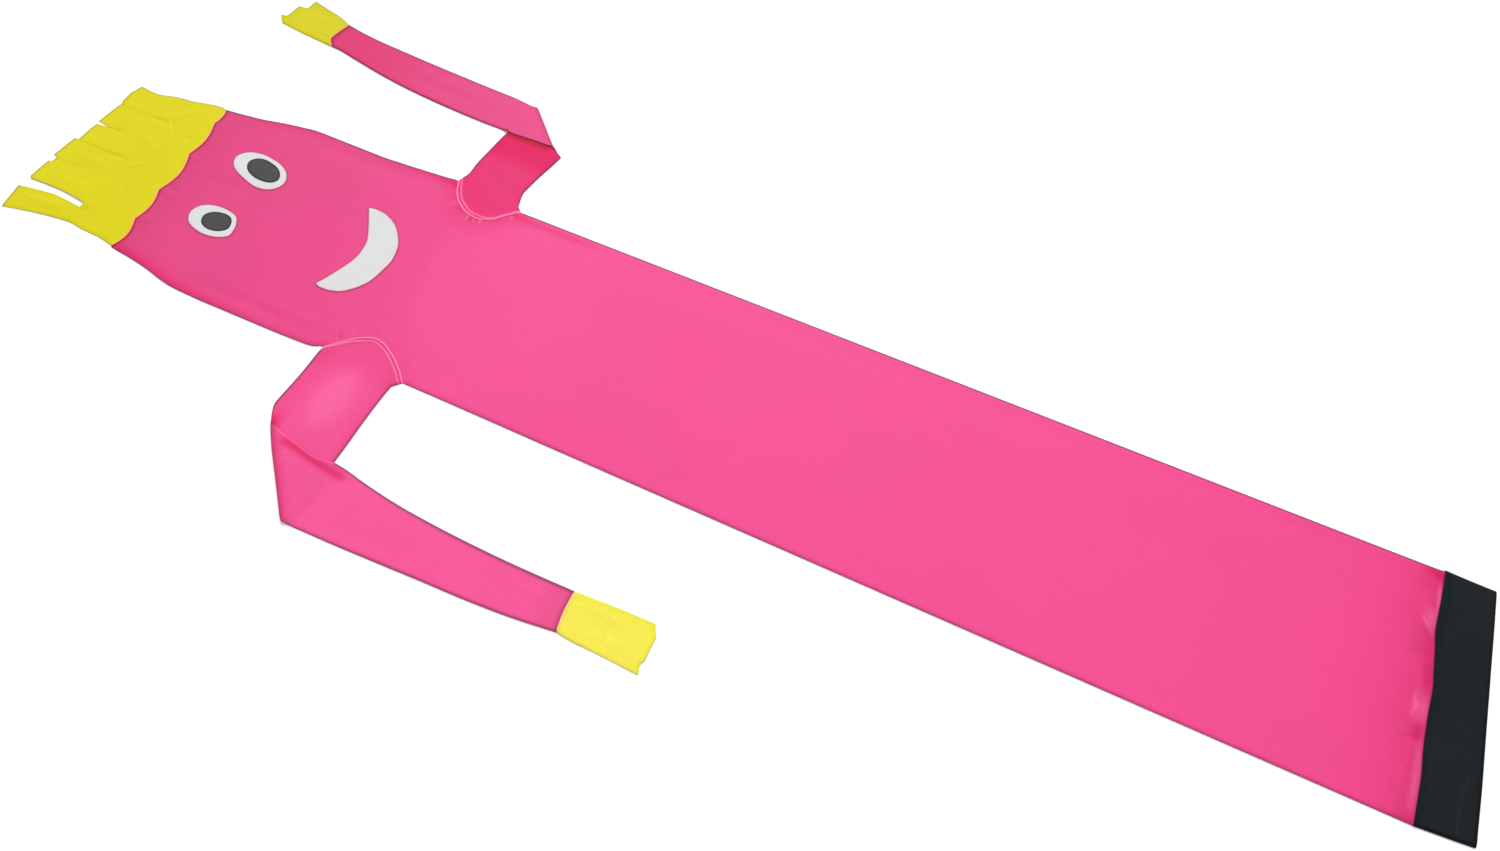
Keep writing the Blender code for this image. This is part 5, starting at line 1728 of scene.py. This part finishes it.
def closed(outline, count):
    """count points spaced evenly round a smooth closed curve through the points of an outline."""
    start = 2 * CURVE_STEPS
    dense = smooth([*outline[-2:], *outline, *outline[:2]])[start:start + CURVE_STEPS * len(outline) + 1]
    return spread(dense, count)[:-1]


def patch(name, x, y, faces, rim, lift, material, light):
    """A patch on the body's front, sewn down in a groove along its rim."""
    to_rim = distance_to(rim, x, y)
    dip = RIM_DIP * bell(to_rim, 0.0014) + GROOVE * bell(to_rim - SEWN_AT, 0.0010)
    top = places(x, y, body_front(x, y) + lift - dip)
    # Painted shade in the groove under the stitches, a painted highlight just inside the rim, and a dark line
    # of painted shade along the rim.
    made = shell(name, top, top - (0.0, 0.0, PATCH_WALL), faces, x, y,
                 {"deep": 0.3 * bell(to_rim - SEWN_AT, 0.0012), "pale": light * bell(to_rim - 0.0046, 0.0026),
                  "fold": bell(to_rim, 0.0027, 4)})
    return finish_cloth(made, material)


def round_patch(name, outline, lift, material, light):
    """A rounded patch: rings that shrink to one point in its middle."""
    loop = closed(outline, 80)
    middle = loop.mean(axis=0)
    rings = middle + np.array(RING_SIZES)[:, None, None] * (loop - middle)
    x, y = np.vstack([rings.reshape(-1, 2), middle]).T
    index = np.arange(rings[..., 0].size).reshape(rings.shape[:2])
    following = np.roll(index, -1, axis=1)
    fan = np.stack([following[-1], index[-1], np.full(len(loop), index.size)], axis=-1)
    faces = [quads(following, index).reshape(-1, 4), fan]
    return patch(name, x, y, faces, np.vstack([loop, loop[:1]]), lift, material, light)


left_eye = round_patch("left_eye_patch", LEFT_EYE, PATCH_LIFT, white_cloth, 0.8)
right_eye = round_patch("right_eye_patch", RIGHT_EYE, PATCH_LIFT, white_cloth, 0.8)
left_pupil = round_patch("left_pupil_patch", LEFT_PUPIL, PUPIL_LIFT, charcoal_cloth, 0.0)
right_pupil = round_patch("right_pupil_patch", RIGHT_PUPIL, PUPIL_LIFT, charcoal_cloth, 0.0)

outer, inner = (spread(smooth(line), 110)[1:] for line in (SMILE_OUTER, SMILE_INNER))
bands = np.array([0.0, 0.02, 0.05, 0.09, *np.linspace(0.15, 0.85, 11), 0.91, 0.95, 0.98, 1.0])
x, y = (outer[:, k:k + 1] + (inner - outer)[:, k:k + 1] * bands for k in (0, 1))
index = np.arange(x.size).reshape(x.shape)
cells = quads(index[:, :-1], index[:, 1:]).reshape(-1, 4)
smile_rim = np.vstack([outer, inner[::-1], outer[:1]])
smile = patch("smile_patch", x.ravel(), y.ravel(), [cells], smile_rim, PATCH_LIFT, white_cloth, 0.8)
face = (left_eye, right_eye, left_pupil, right_pupil, smile)
print("face:", sum(triangles(o) for o in face), "triangles")

# %% [markdown]
# ## Stitches
#
# Rows of stitches repeat one small shape along a path, which is a job for Geometry Nodes. The tree
# resamples each path at the stitch's pitch, puts a short rounded stitch on every point, turns it to
# the path and varies its length and slant a little from a fixed seed. Beads on a curve modifier or a
# particle system could do the same, but a tree keeps its sizes as named inputs.

# %% Stitch tree
BEAD = {"Segments": 6, "Rings": 5, "Radius": 0.5}
SLANT = {"Min": (0.0, 0.0, -0.10), "Max": (0.0, 0.0, 0.10)}  # radians
STRETCH = {"Min": (0.88, 0.9, 0.9), "Max": (1.06, 1.1, 1.1)}


def stitch_tree():
    """Stitches along every edge path of a mesh."""
    tree = bpy.data.node_groups.new("stitches", "GeometryNodeTree")
    face = tree.interface
    face.new_socket("Paths", in_out="INPUT", socket_type="NodeSocketGeometry")
    for label, value in (("Pitch", 0.004), ("Length", 0.003), ("Width", 0.0008), ("Height", 0.0005)):
        face.new_socket(label, in_out="INPUT", socket_type="NodeSocketFloat").default_value = value
    face.new_socket("Seed", in_out="INPUT", socket_type="NodeSocketInt").default_value = 1
    face.new_socket("Thread", in_out="INPUT", socket_type="NodeSocketMaterial")
    face.new_socket("Stitches", in_out="OUTPUT", socket_type="NodeSocketGeometry")

    def node(kind, output, inputs=(), **settings):
        return add_node(tree, kind, inputs, **settings).outputs[output]

    given = add_node(tree, "NodeGroupInput").outputs
    curve = node("GeometryNodeMeshToCurve", "Curve", {"Mesh": given["Paths"]})
    points = node("GeometryNodeResampleCurve", "Curve", {"Curve": curve, "Length": given["Pitch"]},
                  mode="LENGTH")
    bead = node("GeometryNodeMeshUVSphere", "Mesh", BEAD)
    size = node("ShaderNodeCombineXYZ", "Vector",
                {"X": given["Length"], "Y": given["Width"], "Z": given["Height"]})
    stitch = node("GeometryNodeTransform", "Geometry", {"Geometry": bead, "Scale": size})

    tangent = node("GeometryNodeInputTangent", "Tangent")
    along = node("FunctionNodeAlignRotationToVector", "Rotation", {"Vector": tangent}, axis="X")
    slant = node("FunctionNodeRandomValue", "Value", {"Seed": given["Seed"], **SLANT},
                 data_type="FLOAT_VECTOR")
    slant_turn = node("FunctionNodeEulerToRotation", "Rotation", {"Euler": slant})
    turned = node("FunctionNodeRotateRotation", "Rotation", {"Rotation": along, "Rotate By": slant_turn},
                  rotation_space="LOCAL")
    stretch = node("FunctionNodeRandomValue", "Value", {"Seed": given["Seed"], **STRETCH},
                   data_type="FLOAT_VECTOR")

    sewn = node("GeometryNodeInstanceOnPoints", "Instances",
                {"Points": points, "Instance": stitch, "Rotation": turned, "Scale": stretch})
    real = node("GeometryNodeRealizeInstances", "Geometry", {"Geometry": sewn})
    finish = node("GeometryNodeSetMaterial", "Geometry", {"Geometry": real, "Material": given["Thread"]})
    add_node(tree, "NodeGroupOutput", {"Stitches": finish})
    return tree


STITCHES = stitch_tree()


def thread(name, colour, sheen=0.1):
    """Twisted sewing thread: fine bands across each stitch, and a slight unevenness."""
    material, tree, shader = new_material(name)
    place = add_node(tree, "ShaderNodeTexCoord").outputs["Object"]
    twist = add_node(tree, "ShaderNodeTexWave",
                     {"Vector": place, "Scale": 420.0, "Distortion": 1.5, "Detail": 1.0},
                     wave_type="BANDS", bands_direction="DIAGONAL").outputs["Fac"]
    shaded = mix_colours(tree, twist, tuple(0.72 * c for c in colour), colour)
    fill(tree, shader, {"Base Color": shaded, "Normal": bump(tree, twist, 0.4, 0.0001), "Roughness": 0.55,
                        "Sheen Weight": sheen, "Specular IOR Level": 0.1})
    return material


def sew(name, paths, material, pitch=0.0036, length=0.0029, width=0.0009, height=0.0006, seed=1):
    """Stitches along paths of 3-D points, as one plain mesh."""
    corners, edges = [], []
    for path in paths:
        start = len(corners)
        corners += [tuple(p) for p in path]
        edges += [(start + k, start + k + 1) for k in range(len(path) - 1)]
    mesh = bpy.data.meshes.new(name)
    mesh.from_pydata(corners, edges, [])
    obj = add_object(name, mesh)
    modifier = obj.modifiers.new("stitches", "NODES")
    modifier.node_group = STITCHES
    given = {"Pitch": pitch, "Length": length, "Width": width, "Height": height, "Seed": seed,
             "Thread": material}
    for item in STITCHES.interface.items_tree:
        if item.in_out == "INPUT" and item.name in given:
            modifier[item.identifier] = given[item.name]
    plain_mesh(obj)
    shade_smooth(obj.data)
    print(name, ":", triangles(obj), "triangles")
    return obj


pink_thread = thread("pink_thread", (0.86, 0.24, 0.44))
yellow_thread = thread("yellow_thread", (0.70, 0.60, 0.04))
black_thread = thread("black_thread", (0.0075, 0.0095, 0.0115), sheen=0.0)
white_thread = thread("white_thread", (0.66, 0.67, 0.67))
dark_thread = thread("dark_thread", (0.030, 0.030, 0.032))
print("threads are ready")

# %% [markdown]
# Now the paths. Each lies just above the cloth that it runs on, or in the groove round a patch. Its
# height comes from the rule that shaped that cloth or, on an arm, from the arm's nearest points.

# %% Sew the seams
ABOVE = 0.0001  # a stitch's middle lies this high over the cloth
SUNK = 0.00015  # and a patch's stitches this deep in their groove
CLOSE = 0.004  # a path over an arm ends where the arm's points are farther away than this
FROM_WRIST = 0.0022  # from a wrist's seam to its stitches
ON_WRIST = 0.0003  # their height over the cuff
EYE_INSET = 0.0034
PUPIL_INSET = 0.0026
COARSE = {"pitch": 0.0042, "length": 0.0034}


def on_arm(arm, ridge, upper_top):
    """A path along one of the armhole's ridges, over the arm's own points."""
    share = np.linspace(0, 1, 91)
    away = outward(arm.armhole) * ridge_lines(share, arm.trimmed)[ridge][:, None]
    arc = sideways(spread(smooth(arm.armhole), 90), away)[4:-4]
    cloth = upper_top.reshape(-1, 3)
    path = []
    for x, y in arc:
        gap = np.hypot(cloth[:, 0] - x, cloth[:, 1] - y)
        nearest = np.argsort(gap)[:4]
        if gap[nearest[0]] <= CLOSE:
            weight = 1 / (gap[nearest] + 1e-5)
            path.append((x, y, float((cloth[nearest, 2] * weight).sum() / weight.sum()) + ABOVE))
    return path


def on_front(line, lift):
    """A path over the body's front."""
    x, y = line.T
    return places(x, y, body_front(x, y) + lift - SUNK)


def inside(outline, inset, lift):
    """A path just inside a round patch's outline."""
    loop = closed(outline, 90)
    return on_front(sideways(np.vstack([loop[-1:], loop, loop[:2]]), inset)[1:-1], lift)


def on_hand(wrist, way):
    """A path along the front of a wrist's seam."""
    line = spread(smooth(wrist), 40)[2:-2] + np.array([0.0, way * FROM_WRIST])
    return places(*line.T, np.full(len(line), LIMB + LIFT + ON_WRIST))


arms = ((LEFT_ARM, left_top), (RIGHT_ARM, right_top))
arm_paths = [on_arm(arm, ridge, top) for arm, top in arms for ridge in (0, 1)]
arm_stitches = sew("armhole_stitches", arm_paths, pink_thread, pitch=0.0040, length=0.0036, width=0.0010,
                   height=0.0007)

x = np.linspace(-0.212, 0.196, 160)
y = hair_seam(x) + 0.0026
strip_at = np.searchsorted([s.cut[0][1] for s in STRIPS[:-1]], x)
hair_path = places(x, y, hair_front(x, y, strip_at) + ABOVE)
hair_stitches = sew("hair_stitches", [hair_path], yellow_thread, seed=2, **COARSE)

x = np.linspace(-0.232, 0.228, 120)
collar_lines = (collar_seam(x) - 0.0020, collar_seam(x) - 0.0078, np.full(len(x), 0.0115))
collar_paths = [places(x, y, collar_front(x, y) + ABOVE) for y in collar_lines]
collar_stitches = sew("collar_stitches", collar_paths, black_thread, seed=3, **COARSE)

eye_paths = [inside(outline, EYE_INSET, PATCH_LIFT) for outline in (LEFT_EYE, RIGHT_EYE)]
eye_stitches = sew("eye_stitches", eye_paths, white_thread, width=0.0008, seed=4)
pupil_paths = [inside(outline, PUPIL_INSET, PUPIL_LIFT) for outline in (LEFT_PUPIL, RIGHT_PUPIL)]
pupil_stitches = sew("pupil_stitches", pupil_paths, dark_thread, width=0.0008, seed=5)
outer_line = sideways(spread(smooth(SMILE_OUTER), 120), -SEWN_AT)[6:-5]
inner_line = sideways(spread(smooth(SMILE_INNER), 120), SEWN_AT)[10:-6]
smile_paths = [on_front(line, PATCH_LIFT) for line in (outer_line, inner_line)]
smile_stitches = sew("smile_stitches", smile_paths, white_thread, width=0.0008, seed=6)

wrist_stitches = sew("wrist_stitches", [on_hand(LEFT_WRIST, 1)], yellow_thread, seed=7)
cuff_stitches = sew("cuff_stitches", [on_hand(RIGHT_WRIST, -1)], yellow_thread, seed=8)

# %% [markdown]
# ## Hand the pieces to the frame
#
# Every piece rides on the dancer's one body and stands for the solid that it dresses, which is
# hidden. The table also lists for each piece a slot, how large its sheet was cut, its area, how it
# lies, what it rests on and the stitches sewn to it, though only the solid and the stitches are used here.

# %% Frame
Dress = namedtuple("Dress", "piece node slot flat area held rests_on with_pieces", defaults=("laid", (), ()))
DRESSES = rows_of(
    Dress,
    (body_cloth, "body", "pink_nylon", (0.960, 2.760), 2.590),
    (collar_cloth, "collar", "black_collar", (0.960, 0.098), 0.0915, "laid", (), (collar_stitches,)),
    (hair_cloth, "hair", "yellow_nylon", (0.860, 0.285), 0.2225, "laid", (), (hair_stitches,)),
    (left_arm, "left_arm", "pink_nylon", (0.320, 0.950), 0.2050, "folded", (), (arm_stitches,)),
    (right_arm, "right_arm", "pink_nylon", (0.360, 0.970), 0.2500, "folded"),
    (left_hand, "left_hand", "yellow_nylon", (0.215, 0.165), 0.0287, "laid", (), (wrist_stitches,)),
    (right_hand, "right_hand", "yellow_nylon", (0.185, 0.170), 0.0293, "laid", (), (cuff_stitches,)),
    (left_eye, "left_eye", "white_patch", (0.089, 0.152), 0.0100, "laid", ("body_cloth",), (eye_stitches,)),
    (right_eye, "right_eye", "white_patch", (0.081, 0.122), 0.0079, "laid", ("body_cloth",)),
    (left_pupil, "left_pupil", "dark_patch", (0.055, 0.092), 0.0038, "laid", ("left_eye_patch",),
     (pupil_stitches,)),
    (right_pupil, "right_pupil", "dark_patch", (0.050, 0.071), 0.0027, "laid", ("right_eye_patch",)),
    (smile, "smile", "white_patch", (0.230, 0.135), 0.0170, "laid", ("body_cloth",), (smile_stitches,)),
)
for d in DRESSES:
    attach(d.piece, "root")
    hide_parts(d.node)
    for sewn in d.with_pieces:
        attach(sewn, "root")
total = sum(triangles(o) for o in scene.objects if o.type == "MESH")
print("pieces:", len(DRESSES), "sheets,", total, "triangles in all")
